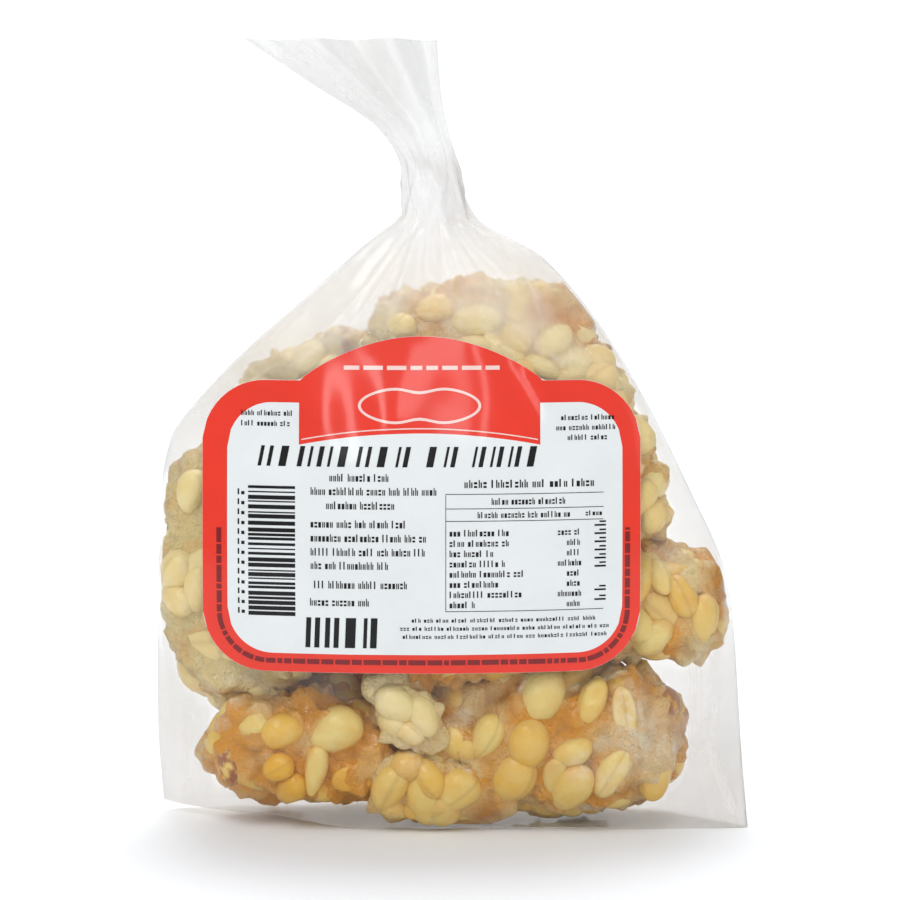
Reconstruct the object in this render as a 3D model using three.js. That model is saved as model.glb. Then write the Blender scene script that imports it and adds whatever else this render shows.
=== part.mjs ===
// A clear bag of peanut fudge, with a printed label on its front.
//
// The bag is a flat tube of thin film, welded shut along the bottom. Broken blocks of fudge fill it and press through
// it as lumps. Above them the film is gathered to a twisted neck, and over the neck it fans out in ruffles to its mouth.
// It stands upright on its contents, with its two bottom corners as flat ears. The label is a thin sheet stuck to the
// front, with rounded corners and an arch along its top.
//
// Here the bag is one solid, out to the film. Two sheets, a front and a back one, meet at the bag's left and right
// edges. Each sheet is a grid of distances from the bag's middle surface, stretched over the lumps like a drumskin.
//
// Millimetres. +X is to the right seen from the front, +Y to the back and +Z up. The origin is on the floor, under the
// middle of the bag.
import * as THREE from "three";

// The bag's outline seen from the front, as [height, x] of its left and right edges.
const MOUTH_HEIGHT = 195;
const LEFT_EDGE = [
  [0, -73.4], [22, -74.1], [84, -72.3], [96, -70], [105, -63.8], [143.6, -22.6], [153, -11.8], [163, -11.4],
  [172, -16.5], [184, -34], [MOUTH_HEIGHT, -50.5],
];
const RIGHT_EDGE = [
  [0, 74.1], [14, 73.2], [52, 71], [64, 68.6], [80, 61.6], [120, 40.3], [141, 22.5], [152, 5.2], [160, 2.8],
  [180, -2.2], [MOUTH_HEIGHT, -3.4],
];

// Half of the bag's depth where nothing presses on the film, as [height, half depth], and how its section changes from
// flat ears at the floor to an oval above.
const HALF_DEPTH = [
  [0, 13], [4, 17], [12, 20], [30, 22], [70, 22], [95, 20], [115, 17], [130, 13.5], [142, 9.5], [151, 6.8], [158, 6],
  [168, 4.6], [180, 2.6], [MOUTH_HEIGHT, 2.2],
];
const EAR_SECTION = { power: 2.6, root: 1.5 };
const OVAL_SECTION = { power: 2, root: 0.5 };
const EARS_END = 36;
const OVAL_STARTS = 100;
const FOOT_SECTION = { power: 3.2, root: 0.9 };

// How far the flat ears bend out of the middle plane at the floor: the left one back, the right one forward. The left
// end of the bottom also hangs a little above the floor.
const LEFT_EAR_BACK = 8;
const RIGHT_EAR_FORWARD = 12;
const EAR_BEND_HEIGHT = 60;
const LEFT_RAISE = 2.5;
const RAISE_FROM = -24;
const RAISE_TO = -46;
const RAISE_FADE = 22;

// The blocks of fudge: centre x, y, z, half width, half depth, half height, and roll in degrees seen from the front.
const BLOCKS = {
  low_left: [-38.5, -4, 19.5, 27, 18, 15.5, -4],
  low_right: [27, -4, 22, 33, 18.5, 20, -4],
  low_middle: [-3, -12, 10.5, 20, 11, 9.5, -6],
  low_back: [-6, 10, 24, 30, 13, 19, 5],
  small_arm: [-10.5, -14, 30, 14, 9, 7, -52],
  middle: [1, -3, 54, 25, 18, 21, 0],
  middle_left: [-51, 0, 63, 19.5, 17, 34, 4],
  middle_right: [48, 1, 56, 22, 17, 19, 12],
  upper_right: [40, 0, 88, 16, 15, 20, 25],
  upper_middle: [-6, 1, 90, 26, 16, 18, 0],
  upper_left: [-40, 1, 103, 16, 11, 11, 35],
  top: [5, 0, 120, 32, 14, 17, -10],
};
const BLOCK_ROUNDNESS = 2.4; // the power of its superellipsoid: 2 is an ellipsoid, and more is squarer

// The peanuts in the blocks, as bumps on them.
const NUT_PITCH = 9.5;
const NUT_HALF_LENGTH = 7.2;
const NUT_HALF_WIDTH = 4.6;
const NUT_RELIEF = 2.6;

// Folds: ribs round the gathered neck, and ruffles of the fan over it.
const RIB_COUNT = 7;
const RIB_HEIGHT = 1.1;
const RIB_TWIST = 0.8; // how far round the neck they turn on their way up through it, in radians
const RIBS_START = 112;
const NECK_LOW = 150;
const NECK_HIGH = 165;
const RUFFLE_WAVES = 2.6;
const RUFFLE_HEIGHT = 6.5;
const RUFFLE_PHASE = 0.6;

// The label, stuck to the front sheet: its outline, and the gentle curve of its face.
const LABEL = { centre: -7.1, halfWidth: 53.75, bottom: 41, shoulder: 112, archTop: 122.7, archHalfWidth: 29.5 };
const LABEL_CORNER = 15.5;
const LABEL_FRONT = 23.8; // how far its face stands in front of the origin
const LABEL_BEND_RADIUS = 190; // its curve from side to side
const LABEL_LEAN_RADIUS = 200; // its curve back over the bag's shoulders
const LABEL_LEAN_START = 60;
const LABEL_THICKNESS = 0.4;
const LABEL_GAP = 0.35; // to the film
const LABEL_MARGIN = 6; // round the label the film is held behind its face, and farther out it may rise by this slope
const LABEL_SLOPE = 0.6;

// Grids.
const ROW_STEP = 3.5;
const FIRST_ROWS = [0, 1, 3];
const SHEET_COLUMNS = 38;
const EDGE_CROWDING = 0.35; // how much closer the columns stand near the bag's edges
const STRETCH_PASSES = 26;
const LABEL_COLUMNS = 26;
const LABEL_ROWS = 8;

const clamp = THREE.MathUtils.clamp;
const smooth = (from, to, value) => THREE.MathUtils.smoothstep(value, from, to);

// A curve through points [at, value] that never overshoots them: a cubic in each span, with its slopes averaged.
function curveThrough(points) {
  const spans = points.slice(1).map(([at, value], i) => ({
    width: at - points[i][0],
    slope: (value - points[i][1]) / (at - points[i][0]),
  }));
  const slopes = points.map((_, i) => {
    const before = spans[Math.max(i - 1, 0)].slope;
    const after = spans[Math.min(i, spans.length - 1)].slope;
    return before * after > 0 ? (2 * before * after) / (before + after) : 0;
  });
  return (at) => {
    let i = points.findIndex(([end]) => end > at) - 1;
    if (i < 0) i = at < points[0][0] ? 0 : spans.length - 1;
    const t = clamp((at - points[i][0]) / spans[i].width, 0, 1);
    const from = points[i][1] * (1 + 2 * t) * (1 - t) ** 2 + slopes[i] * spans[i].width * t * (1 - t) ** 2;
    const to = points[i + 1][1] * t * t * (3 - 2 * t) + slopes[i + 1] * spans[i].width * t * t * (t - 1);
    return from + to;
  };
}

const leftEdge = curveThrough(LEFT_EDGE);
const rightEdge = curveThrough(RIGHT_EDGE);
const halfDepth = curveThrough(HALF_DEPTH);

// A repeatable number from 0 to 1 for a pair of cell numbers and a purpose.
function draw(column, row, purpose) {
  const wave = Math.sin(column * 127.1 + row * 311.7 + purpose * 74.7) * 43758.5453;
  return wave - Math.floor(wave);
}

// The height of the peanuts' bumps, 0 to 1: one leaning oval dome in each cell of a jittered grid.
function nutBump(x, z) {
  const column = Math.floor(x / NUT_PITCH);
  const row = Math.floor(z / NUT_PITCH);
  let highest = 0;
  for (let i = column - 1; i <= column + 1; i++)
    for (let j = row - 1; j <= row + 1; j++) {
      const angle = draw(i, j, 1) * Math.PI;
      const dx = x - (i + 0.2 + 0.6 * draw(i, j, 2)) * NUT_PITCH;
      const dz = z - (j + 0.2 + 0.6 * draw(i, j, 3)) * NUT_PITCH;
      const along = (dx * Math.cos(angle) + dz * Math.sin(angle)) / NUT_HALF_LENGTH;
      const across = (dz * Math.cos(angle) - dx * Math.sin(angle)) / NUT_HALF_WIDTH;
      highest = Math.max(highest, Math.sqrt(Math.max(0, 1 - along * along - across * across)));
    }
  return highest;
}

// How far the blocks reach from the plane y = 0 at a point seen from the front. side is 1 for the front, -1 for the back.
function blockReach(x, z, side) {
  let reach = -Infinity;
  for (const [cx, cy, cz, halfWidth, halfThick, halfHeight, roll] of Object.values(BLOCKS)) {
    const angle = THREE.MathUtils.degToRad(roll);
    const across = ((x - cx) * Math.cos(angle) + (z - cz) * Math.sin(angle)) / halfWidth;
    const up = ((z - cz) * Math.cos(angle) - (x - cx) * Math.sin(angle)) / halfHeight;
    const left = 1 - Math.abs(across) ** BLOCK_ROUNDNESS - Math.abs(up) ** BLOCK_ROUNDNESS;
    if (left > 0) reach = Math.max(reach, -side * cy + halfThick * left ** (1 / BLOCK_ROUNDNESS));
  }
  return reach + NUT_RELIEF * (nutBump(x + side * 50, z) - 0.6);
}

// The label's outline: the height of its lower and upper edge at x.
function labelSpan(x) {
  const off = Math.abs(x - LABEL.centre);
  const intoCorner = Math.max(0, off - (LABEL.halfWidth - LABEL_CORNER));
  const cut = LABEL_CORNER - Math.sqrt(Math.max(0, LABEL_CORNER ** 2 - intoCorner ** 2));
  const arch = (LABEL.archTop - LABEL.shoulder) * Math.cos((Math.PI / 2) * Math.min(1, off / LABEL.archHalfWidth)) ** 0.8;
  return [LABEL.bottom + cut, LABEL.shoulder - cut + arch];
}

// How far the label's face stands in front of the plane y = 0.
function labelFace(x, z) {
  const lean = Math.max(0, z - LABEL_LEAN_START);
  return LABEL_FRONT - (x - LABEL.centre) ** 2 / (2 * LABEL_BEND_RADIUS) - lean ** 2 / (2 * LABEL_LEAN_RADIUS);
}

// How far a point lies outside the label: outside its rounded rectangle, or outside the arch on that. 0 or less within.
function outsideLabel(x, z) {
  const off = Math.abs(x - LABEL.centre);
  const overX = off - (LABEL.halfWidth - LABEL_CORNER);
  const overZ = Math.abs(z - (LABEL.bottom + LABEL.shoulder) / 2) - ((LABEL.shoulder - LABEL.bottom) / 2 - LABEL_CORNER);
  const box = Math.hypot(Math.max(overX, 0), Math.max(overZ, 0)) + Math.min(0, Math.max(overX, overZ)) - LABEL_CORNER;
  return Math.min(box, Math.max(off - LABEL.archHalfWidth, z - labelSpan(x)[1], LABEL.bottom + LABEL_CORNER - z));
}

// The bag's middle surface: its y at a share of the half width, from -1 at the left edge to 1 at the right, and a height.
function middle(across, z) {
  const bend = Math.max(0, 1 - z / EAR_BEND_HEIGHT) ** 2;
  const ear = bend * Math.abs(across) ** 3 * (across < 0 ? LEFT_EAR_BACK : -RIGHT_EAR_FORWARD);
  const ruffle = smooth(NECK_HIGH, MOUTH_HEIGHT, z) * Math.sin(Math.PI * RUFFLE_WAVES * across + RUFFLE_PHASE);
  return ear + RUFFLE_HEIGHT * ruffle;
}

// The bag's section where nothing presses on the film: its half depth at a share of the half width.
function slackSection(across, z) {
  const toOval = smooth(EARS_END, OVAL_STARTS, z);
  const power = THREE.MathUtils.lerp(EAR_SECTION.power, OVAL_SECTION.power, toOval);
  const root = THREE.MathUtils.lerp(EAR_SECTION.root, OVAL_SECTION.root, toOval);
  return halfDepth(z) * (1 - Math.abs(across) ** power) ** root;
}

function rowHeights() {
  const heights = [...FIRST_ROWS];
  const last = heights[heights.length - 1];
  const count = Math.round((MOUTH_HEIGHT - last) / ROW_STEP);
  for (let i = 1; i <= count; i++) heights.push(last + ((MOUTH_HEIGHT - last) * i) / count);
  return heights;
}

// The columns' shares of the half width, from -1 to 1, closer together near the edges.
function columnShares() {
  return Array.from({ length: SHEET_COLUMNS + 1 }, (_, i) => {
    const even = (2 * i) / SHEET_COLUMNS - 1;
    return (1 - EDGE_CROWDING) * even + EDGE_CROWDING * Math.sin((Math.PI / 2) * even);
  });
}

const heights = rowHeights();
const shares = columnShares();
const sheetX = (across, z) => {
  const [left, right] = [leftEdge(z), rightEdge(z)];
  return (left + right) / 2 + (across * (right - left)) / 2;
};

// One sheet's distances from the middle surface. Each pass moves every point to the mean of its neighbours, and then
// back to the lumps or the slack section if it sank into them, or behind the label.
function stretchSheet(side) {
  const least = heights.map((z) =>
    shares.map((across) => {
      const lumps = z < NECK_LOW ? blockReach(sheetX(across, z), z, side) + side * middle(across, z) : 0;
      return Math.abs(across) === 1 ? 0 : Math.max(slackSection(across, z), lumps);
    }),
  );
  const most = heights.map((z) =>
    shares.map((across) => {
      const x = sheetX(across, z);
      if (side < 0) return Infinity;
      const rise = LABEL_SLOPE * Math.max(0, outsideLabel(x, z) - LABEL_MARGIN);
      return labelFace(x, z) - LABEL_THICKNESS - LABEL_GAP + middle(across, z) + rise;
    }),
  );
  const foot = shares.map(
    (across) => HALF_DEPTH[0][1] * (1 - Math.abs(across) ** FOOT_SECTION.power) ** FOOT_SECTION.root,
  );
  const underLabel = (row, column) => side > 0 && outsideLabel(sheetX(shares[column], heights[row]), heights[row]) <= 0;
  const edge = (row, column) => row > 0 && (column === 0 || column === SHEET_COLUMNS);
  let sheet = least.map((row, i) => (i === 0 ? foot : row.map((value, j) => Math.min(value, most[i][j]))));
  for (let pass = 0; pass < STRETCH_PASSES; pass++)
    sheet = sheet.map((row, i) =>
      row.map((value, j) => {
        if (i === 0 || edge(i, j) || heights[i] > NECK_LOW) return value;
        if (underLabel(i, j)) return most[i][j];
        const mean = (sheet[i - 1][j] + sheet[i + 1][j] + row[j - 1] + row[j + 1]) / 4;
        return Math.min(Math.max(mean, least[i][j]), most[i][j]);
      }),
    );
  return sheet;
}

// A point of the bag's film, with the ribs of the gathered neck added along the section's normal.
function filmPoint(across, z, side, distance) {
  const angle = Math.acos(clamp(across, -1, 1)) * side;
  const gathered = smooth(RIBS_START, NECK_LOW, z) * (1 - smooth(NECK_HIGH, NECK_HIGH + 14, z));
  const turn = RIB_TWIST * smooth(NECK_LOW - 6, NECK_HIGH + 6, z);
  const rib = RIB_HEIGHT * gathered * Math.cos(RIB_COUNT * (angle + turn));
  const x = sheetX(across, z) + rib * Math.cos(angle);
  const y = middle(across, z) - side * distance - rib * Math.sin(angle);
  return [x, y, z + LEFT_RAISE * (1 - smooth(RAISE_TO, RAISE_FROM, x)) * Math.max(0, 1 - z / RAISE_FADE)];
}

// A closed surface from rings of points: the first and last rings are shut by strips from their front half to their back.
function closedFromSheets(front, back) {
  const positions = [];
  const triangles = [];
  const columns = front[0].length - 1;
  const ring = 2 * columns;
  front.forEach((row, i) => {
    row.forEach((point) => positions.push(...point));
    for (let j = columns - 1; j > 0; j--) positions.push(...back[i][j]);
  });
  const quad = (a, b, c, d) => triangles.push(a, b, c, a, c, d);
  for (let i = 0; i + 1 < front.length; i++)
    for (let j = 0; j < ring; j++) {
      const next = (j + 1) % ring;
      quad(i * ring + j, i * ring + next, (i + 1) * ring + next, (i + 1) * ring + j);
    }
  const top = (front.length - 1) * ring;
  for (let j = 0; j < columns; j++) {
    const behind = (ring - j) % ring;
    const behindNext = ring - j - 1;
    if (j > 0) triangles.push(j, behind, j + 1, top + j, top + j + 1, top + behind);
    if (j < columns - 1) triangles.push(behind, behindNext, j + 1, top + behind, top + j + 1, top + behindNext);
  }
  const geometry = new THREE.BufferGeometry();
  geometry.setAttribute("position", new THREE.Float32BufferAttribute(positions, 3));
  geometry.setIndex(triangles);
  geometry.computeVertexNormals();
  return geometry;
}

function makeBag() {
  const sheetOf = (side) => {
    const distances = stretchSheet(side);
    return heights.map((z, i) => shares.map((across, j) => filmPoint(across, z, side, distances[i][j])));
  };
  const film = new THREE.MeshStandardMaterial({ color: 0xe6c68c, roughness: 0.18, metalness: 0 });
  const bag = new THREE.Mesh(closedFromSheets(sheetOf(1), sheetOf(-1)), film);
  bag.name = "bag";
  return bag;
}

function makeLabel() {
  const front = [];
  const back = [];
  for (let i = 0; i <= LABEL_ROWS; i++) {
    front.push([]);
    back.push([]);
    for (let j = 0; j <= LABEL_COLUMNS; j++) {
      const x = LABEL.centre + LABEL.halfWidth * Math.sin((Math.PI / 2) * ((2 * j) / LABEL_COLUMNS - 1));
      const [low, high] = labelSpan(x);
      const z = low + ((high - low) * i) / LABEL_ROWS;
      front[i].push([x, -labelFace(x, z), z]);
      back[i].push([x, -labelFace(x, z) + LABEL_THICKNESS, z]);
    }
  }
  const paper = new THREE.MeshStandardMaterial({ color: 0xe63c2e, roughness: 0.35, metalness: 0 });
  const label = new THREE.Mesh(closedFromSheets(front, back), paper);
  label.name = "label";
  return label;
}

const object = new THREE.Group();
object.name = "bagged_fudge";
object.add(makeBag(), makeLabel());

export default object;
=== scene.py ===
"""A clear bag of peanut fudge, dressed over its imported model.

Broken blocks of fudge with peanuts in them fill a bag of clear film. The film is gathered to a twisted neck
and fans out over it. A glossy printed label is stuck to the front. Every piece is a surface worked out with
numpy, in millimetres in the model's frame, and becomes a mesh in metres: +X is right seen from the front,
+Y back and +Z up.
"""
import collections
import functools
import math

import bpy
import numpy as np
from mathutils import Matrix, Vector


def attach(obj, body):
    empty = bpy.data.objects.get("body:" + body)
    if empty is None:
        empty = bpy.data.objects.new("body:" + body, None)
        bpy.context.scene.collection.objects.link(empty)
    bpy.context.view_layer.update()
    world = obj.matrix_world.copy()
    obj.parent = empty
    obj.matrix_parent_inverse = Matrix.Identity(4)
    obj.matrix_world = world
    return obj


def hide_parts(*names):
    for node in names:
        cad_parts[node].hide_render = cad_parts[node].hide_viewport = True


bl_info = {
    "name": "Bag of Peanut Fudge",
    "version": (1, 0, 0),
    "blender": (4, 5, 0),
    "location": "3D View > Sidebar > Fudge Bag",
    "description": "Builds a clear bag of peanut fudge with its label, and a pale stage for it",
    "category": "Add Mesh",
}

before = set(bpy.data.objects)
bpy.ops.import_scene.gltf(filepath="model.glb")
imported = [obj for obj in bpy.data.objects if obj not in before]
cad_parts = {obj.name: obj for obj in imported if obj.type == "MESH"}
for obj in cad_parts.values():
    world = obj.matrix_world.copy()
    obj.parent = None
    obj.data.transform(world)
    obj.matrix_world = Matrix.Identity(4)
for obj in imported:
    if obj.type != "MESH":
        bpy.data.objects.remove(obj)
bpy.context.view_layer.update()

MM = 0.001
BODY = "root"

# The bag's form, in millimetres, against the height: x of its left edge and of its right edge and its half
# depth where nothing presses on it, all as in the model's own solids, and how deep fudge may lie in it.
MOUTH = 195.0
LEFT_EDGE = (
    (0, -73.4), (22, -74.1), (84, -72.3), (96, -70), (105, -63.8), (143.6, -22.6), (153, -11.8), (163, -11.4),
    (172, -16.5), (184, -34), (MOUTH, -50.5))
RIGHT_EDGE = (
    (0, 74.1), (14, 73.2), (52, 71), (64, 68.6), (80, 61.6), (120, 40.3), (141, 22.5), (152, 5.2), (160, 2.8),
    (180, -2.2), (MOUTH, -3.4))
HALF_DEPTH = (
    (0, 13), (4, 17), (12, 20), (30, 22), (70, 22), (95, 20), (115, 17), (130, 13.5), (142, 9.5), (151, 6.8),
    (158, 6), (168, 4.6), (180, 2.6), (MOUTH, 2.2))
ROOM_DEPTH = ((0, 15), (8, 21), (25, 22.4), (95, 22.2), (118, 18.5), (135, 13), (150, 9), (MOUTH, 4))

# Power and root of the bag's section: flat-eared up to one height, and oval from the other.
EAR_SECTION = (2.6, 1.5)
OVAL_SECTION = (2.0, 0.5)
EARS_END, OVAL_STARTS = 36.0, 100.0

# The foot's own section, how its ears bend, and how far its left end is raised off the floor.
FOOT_HALF_DEPTH, FOOT_POWER, FOOT_ROOT = 13.0, 3.2, 0.9
LEFT_EAR_BACK, RIGHT_EAR_FORWARD, EAR_BEND_HEIGHT = 8.0, 12.0, 60.0
LEFT_RAISE, RAISE_FROM, RAISE_TO, RAISE_FADE = 2.5, -24.0, -46.0, 22.0

# The rings of film under the foot: the share of its half depth that each has, and the share of its half
# width that they are drawn in by on their way to its middle line.
UNDER_RINGS = (0.02, 0.2, 0.45, 0.7, 0.9)
UNDER_DRAWN_IN = 0.012

# The neck and the fan: x of the twist's leading edge and of the fan's main crease, against the height.
NECK_LOW, NECK_HIGH, RIBS_START = 150.0, 165.0, 112.0
NECK_CENTRE = (-4.5, 158.0)
TWIST_EDGE = ((146, -0.5), (152, -1.0), (157, -1.8), (161, -4.0), (164.5, -8.5), (168, -13.5))
FAN_CREASE = ((150, -4.0), (167, -9.0), (MOUTH, -13.0))
RUFFLE_WAVES, RUFFLE_HEIGHT, RUFFLE_PHASE = 2.6, 6.5, 0.6
TWIST_LAP = 1.1

# Ribs of the gathered neck: height, how many go round, how fast they turn through the neck, and where they
# start.
NECK_RIBS = ((0.65, 7, 7.0, 0.0), (0.32, 13, 16.9, 0.7), (0.12, 23, -5.0, 0.0))

# Creases that run out from the neck: direction in radians from straight down, share of the full height, and
# length.
FRONT_CREASES = (
    (-0.86, 1.0, 95), (-0.66, 0.9, 80), (-0.50, 1.1, 60), (-0.28, 0.9, 46), (-0.08, 0.8, 34), (0.10, 1.0, 38),
    (0.28, 1.2, 52), (0.42, 1.0, 74), (0.52, 1.3, 120), (0.60, 1.2, 138), (0.66, 1.2, 124), (0.74, 0.9, 70))
BACK_CREASES = (
    (-0.80, 1.1, 100), (-0.58, 0.9, 70), (-0.36, 1.2, 90), (-0.12, 1.0, 62), (0.08, 1.2, 100),
    (0.25, 1.0, 74), (0.42, 1.2, 110), (0.56, 0.9, 80), (0.68, 1.0, 60))

# Creases near the bag's sides: x at the foot of each, its lean, the heights it runs between, and its share.
SIDE_CREASES = (
    (72.2, -0.36, 0, 26, 1.5), (61.6, 0.02, 14, 54, 1.0), (66.0, 0.05, 18, 60, 0.8),
    (66.5, -0.20, 0, 22, 0.7), (-67.5, 0.05, 0, 34, 0.9), (-70.6, -0.02, 4, 46, 0.6))
SIDE_CREASE_HALF_WIDTH = 1.7

# The film over the fudge: its clearance, and how many passes stretch it. A cell with no fudge in it holds
# NO_FUDGE, and film beside no fudge counts as standing this far off it.
FILM_CLEARANCE, STRETCH_PASSES = 0.4, 220
NO_FUDGE, BARE_GAP = -99.0, 14.0

# The label: its place and size, its corners and bend, and how the film leaves it. The film lies a gap
# behind it, and outside a margin round it comes forward by a slope.
LABEL_CENTRE, LABEL_HALF, ARCH_HALF = -7.1, 53.75, 29.5
LABEL_BOTTOM, LABEL_SHOULDER, LABEL_TOP = 41.0, 112.0, 122.7
LABEL_CORNER, LABEL_FRONT, LABEL_BEND, LABEL_LEAN, LEAN_START = 15.5, 23.8, 190.0, 200.0, 60.0
LABEL_THICK, LABEL_GAP, LABEL_MARGIN, LABEL_SLOPE = 0.4, 0.35, 6.0, 0.6
DENT_LENGTH, DENT_DEPTH = 17.0, 0.16
CREASE_AT, CREASE_ACROSS, CREASE_HALF_WIDTH, CREASE_HEIGHT = (22.5, 107.0), (0.87, 0.5), 1.9, 0.20

# The blocks of fudge: centre, half sizes, roll in degrees seen from the front, and how creamy they are,
# from 0, clear amber toffee, to 1, white sugar.
Block = collections.namedtuple("Block", "centre half roll cream")
BLOCKS = {
    "low_left": Block((-36.5, -4, 19.5), (25.5, 18, 15.5), -4, 0.08),
    "low_right": Block((27, -4, 22), (33.5, 18.5, 20), -4, 0.38),
    "low_middle": Block((-3, -12, 10.5), (20, 11, 9.5), -6, 0.35),
    "low_back": Block((-9, 9, 31), (46, 12, 22), 2, 0.05),
    "small_arm": Block((-10.5, -14, 30), (14, 9, 7), -52, 0.9),
    "middle": Block((1, -3, 54), (28, 18, 21.5), 0, 0.3),
    "middle_left": Block((-52, 0, 62.5), (21.5, 17, 35.5), 3, 1.02),
    "middle_right": Block((46.5, 1, 54.5), (25, 17, 15.5), -4, 0.46),
    "upper_right": Block((37.5, 0, 86), (16.5, 15, 21), 14, 0.75),
    "upper_middle": Block((-6, 1, 90), (28, 16, 19.5), 0, 0.5),
    "upper_left": Block((-36, 1, 104.5), (24, 12, 15), 36, 1.04),
    "shoulder": Block((33, 1, 107), (13, 12, 17), 28, 0.8),
    "top": Block((9, 0, 116.8), (29.5, 14, 20.5), 2, 0.65),
}
ROUNDNESS = 2.8
NUTS_STAND_OUT = 3.1
SWELL_MOST = 2.8
FLOOR_GAP, EDGE_SHARE = 1.0, 0.985

# The scattered peanuts: half length, width as a share of it, thickness as a share of the width, the share
# that are bare, how deep a bare one and a covered one sinks, and the shares with red skin and split to a
# half. The front peanuts sink and thicken by a share of their own.
NUT_HALF_LENGTH, NUT_WIDTH, NUT_THICKNESS = (4.6, 7.3), (0.60, 0.80), (0.82, 0.98)
BARE_SHARE, BARE_SINK, COVERED_SINK = 0.86, (0.1, 0.6), (0.4, 0.8)
SKIN_SHARE, HALVES_SHARE = 0.015, 0.16
FRONT_SINK, FRONT_THICKNESS = 0.32, 0.9

# The peanuts that show best, in front: x, z, length, width, lean in degrees, tone from 0, pale, to 1,
# golden, and how much red skin is left on them.
FRONT_NUTS = (
    (22.4, 35.1, 15.5, 11.5, 75, 0.05, 0.0), (19.2, 22.5, 12.5, 10.5, 80, 0.80, 0.0),
    (15.6, 13.5, 13, 11, 60, 0.70, 0.0), (-28.3, 25.6, 13.5, 11, 30, 0.15, 0.0),
    (-33.3, 15.5, 13, 5.5, 80, 0.20, 0.0), (-41.4, 25.6, 11, 8.5, 20, 0.75, 0.0),
    (-53.4, 29.3, 9.5, 8, 60, 0.20, 0.0), (-8.8, 37.6, 12, 11, 70, 0.55, 0.0),
    (1.2, 10, 13, 10, 40, 0.45, 0.0), (-2.6, 35.6, 11, 9, 100, 0.60, 0.0),
    (8.7, 23.8, 12, 8, 60, 0.25, 0.0), (34.9, 32.6, 12, 7, 70, 0.50, 0.0),
    (42.9, 28.8, 15, 6, 95, 0.20, 0.0), (39.9, 15, 14, 8, 60, 0.30, 0.0),
    (51.2, 13.7, 14, 8, 80, 0.70, 0.0), (-42.6, 16.3, 8, 7, 30, 0.95, 0.0),
    (-22.6, 13.7, 14, 7, 8, 1.0, 0.0), (-55.1, 16.3, 11, 5.5, 100, 0.45, 0.9),
    (30.0, 20.5, 10, 7, 20, 0.35, 0.0), (6.2, 126.4, 13, 9, 10, 0.10, 0.0),
    (16.2, 121.8, 10, 9, 60, 0.50, 0.0), (22.4, 114.3, 10, 6, -30, 0.20, 0.0),
    (1.2, 134.4, 15, 8, 8, 0.60, 0.0), (16.2, 130.6, 11, 7, 90, 0.60, 0.0),
    (51.2, 95.4, 11, 9, 70, 0.50, 0.0), (-62.5, 60, 12, 8, 80, 0.45, 0.0),
    (-64, 84, 11, 8, 70, 0.30, 0.0), (63, 52, 12, 8, 85, 0.50, 0.0), (57, 69, 11, 8, 60, 0.25, 0.0),
)

# Where white sugar lies thick in front: x, z, radius and how white.
SUGAR = (
    (47.4, 23.0, 7.5, 1.0), (44.0, 32.0, 5.0, 0.7), (32.4, 17.5, 3.5, 0.9), (39.0, 13.4, 3.5, 0.8),
    (56.0, 21.0, 4.0, 0.5), (-9.0, 21.0, 4.0, 0.8), (-17.0, 33.0, 4.0, 0.6), (-46.0, 33.0, 4.0, 0.5),
    (12.0, 127.0, 6.0, 0.6))

# Colours that aren't settings, in linear light.
WHITE = (1.0, 1.0, 1.0, 1.0)
# The film's most dimmed tint, through which painted shade is laid on too, and its milky white.
DIMMED_FILM, MILKY_FILM = (0.800, 0.786, 0.770, 1.0), (0.915, 0.90, 0.88, 1.0)
SUGAR_GRAIN, THICK_SUGAR = (0.93, 0.83, 0.58, 1.0), (0.95, 0.81, 0.57, 1.0)
# Dark toffee for the hollows between lumps: deeper toffee, and painted shade where shade falls between them.
TOFFEE_AND_SHADE_IN_HOLLOWS = (0.33, 0.100, 0.014, 1.0)
AMBER_GLAZE, CREAM_GLAZE = (0.74, 0.35, 0.014, 1.0), (0.88, 0.69, 0.34, 1.0)
SUGAR_DUST, SUGARED_NUT = (0.98, 0.86, 0.52, 1.0), (0.95, 0.82, 0.58, 1.0)
SPLIT_LINE = (0.30, 0.15, 0.04, 1.0)
DARK_RED, PALE_LINE = (0.20, 0.008, 0.010), (0.86, 0.62, 0.58)
FLOOR_CLOUD = (0.88, 0.88, 0.88, 1.0)

# The print on the label. The panel is the bare paper, and the heading field a red one that hangs into it.
PANEL_LEFT, PANEL_RIGHT, PANEL_BOTTOM, PANEL_TOP, PANEL_CORNER = -54.6, 42.1, 45.6, 106.6, 11.0
HEADER_LEFT, HEADER_RIGHT, HEADER_BOTTOM, HEADER_RISE = -36.9, 21.9, 96.5, 2.9
RED_INSET, BAR_STEP = 0.05, 3.0

# Rows of bold bars: x from and to, how many pairs, heights from and to, slant, and boldness.
BOLD_ROWS = (
    (-47.1, -8.6, 8, 91.3, 96.2, 0.2, 0.68), (-6.2, 2.8, 2, 91.3, 96.2, 0.2, 0.68),
    (5.2, 22.6, 4, 91.3, 96.2, 0.2, 0.68), (-35.4, -16.6, 4, 47.2, 54.6, 0.04, 0.95))

# Where the bars of one pair start and end, as shares of its pitch.
BAR_PAIRS = (
    ((0.0, 0.27), (0.46, 0.74)), ((0.0, 0.20), (0.36, 0.72)), ((0.0, 0.36), (0.54, 0.75)), ((0.06, 0.62),))

# The bars that stand for one letter: left, right, foot and head, as shares of its width and height.
LETTERS = (
    ((0.0, 0.34, 0.0, 1.0),), ((0.0, 0.70, 0.0, 0.72),), ((0.0, 0.70, 0.0, 0.26), (0.0, 0.70, 0.46, 0.74)),
    ((0.0, 0.26, 0.0, 1.0), (0.42, 0.70, 0.0, 0.70)), ((0.0, 0.26, 0.0, 0.72), (0.42, 0.70, 0.0, 0.72)))

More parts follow.
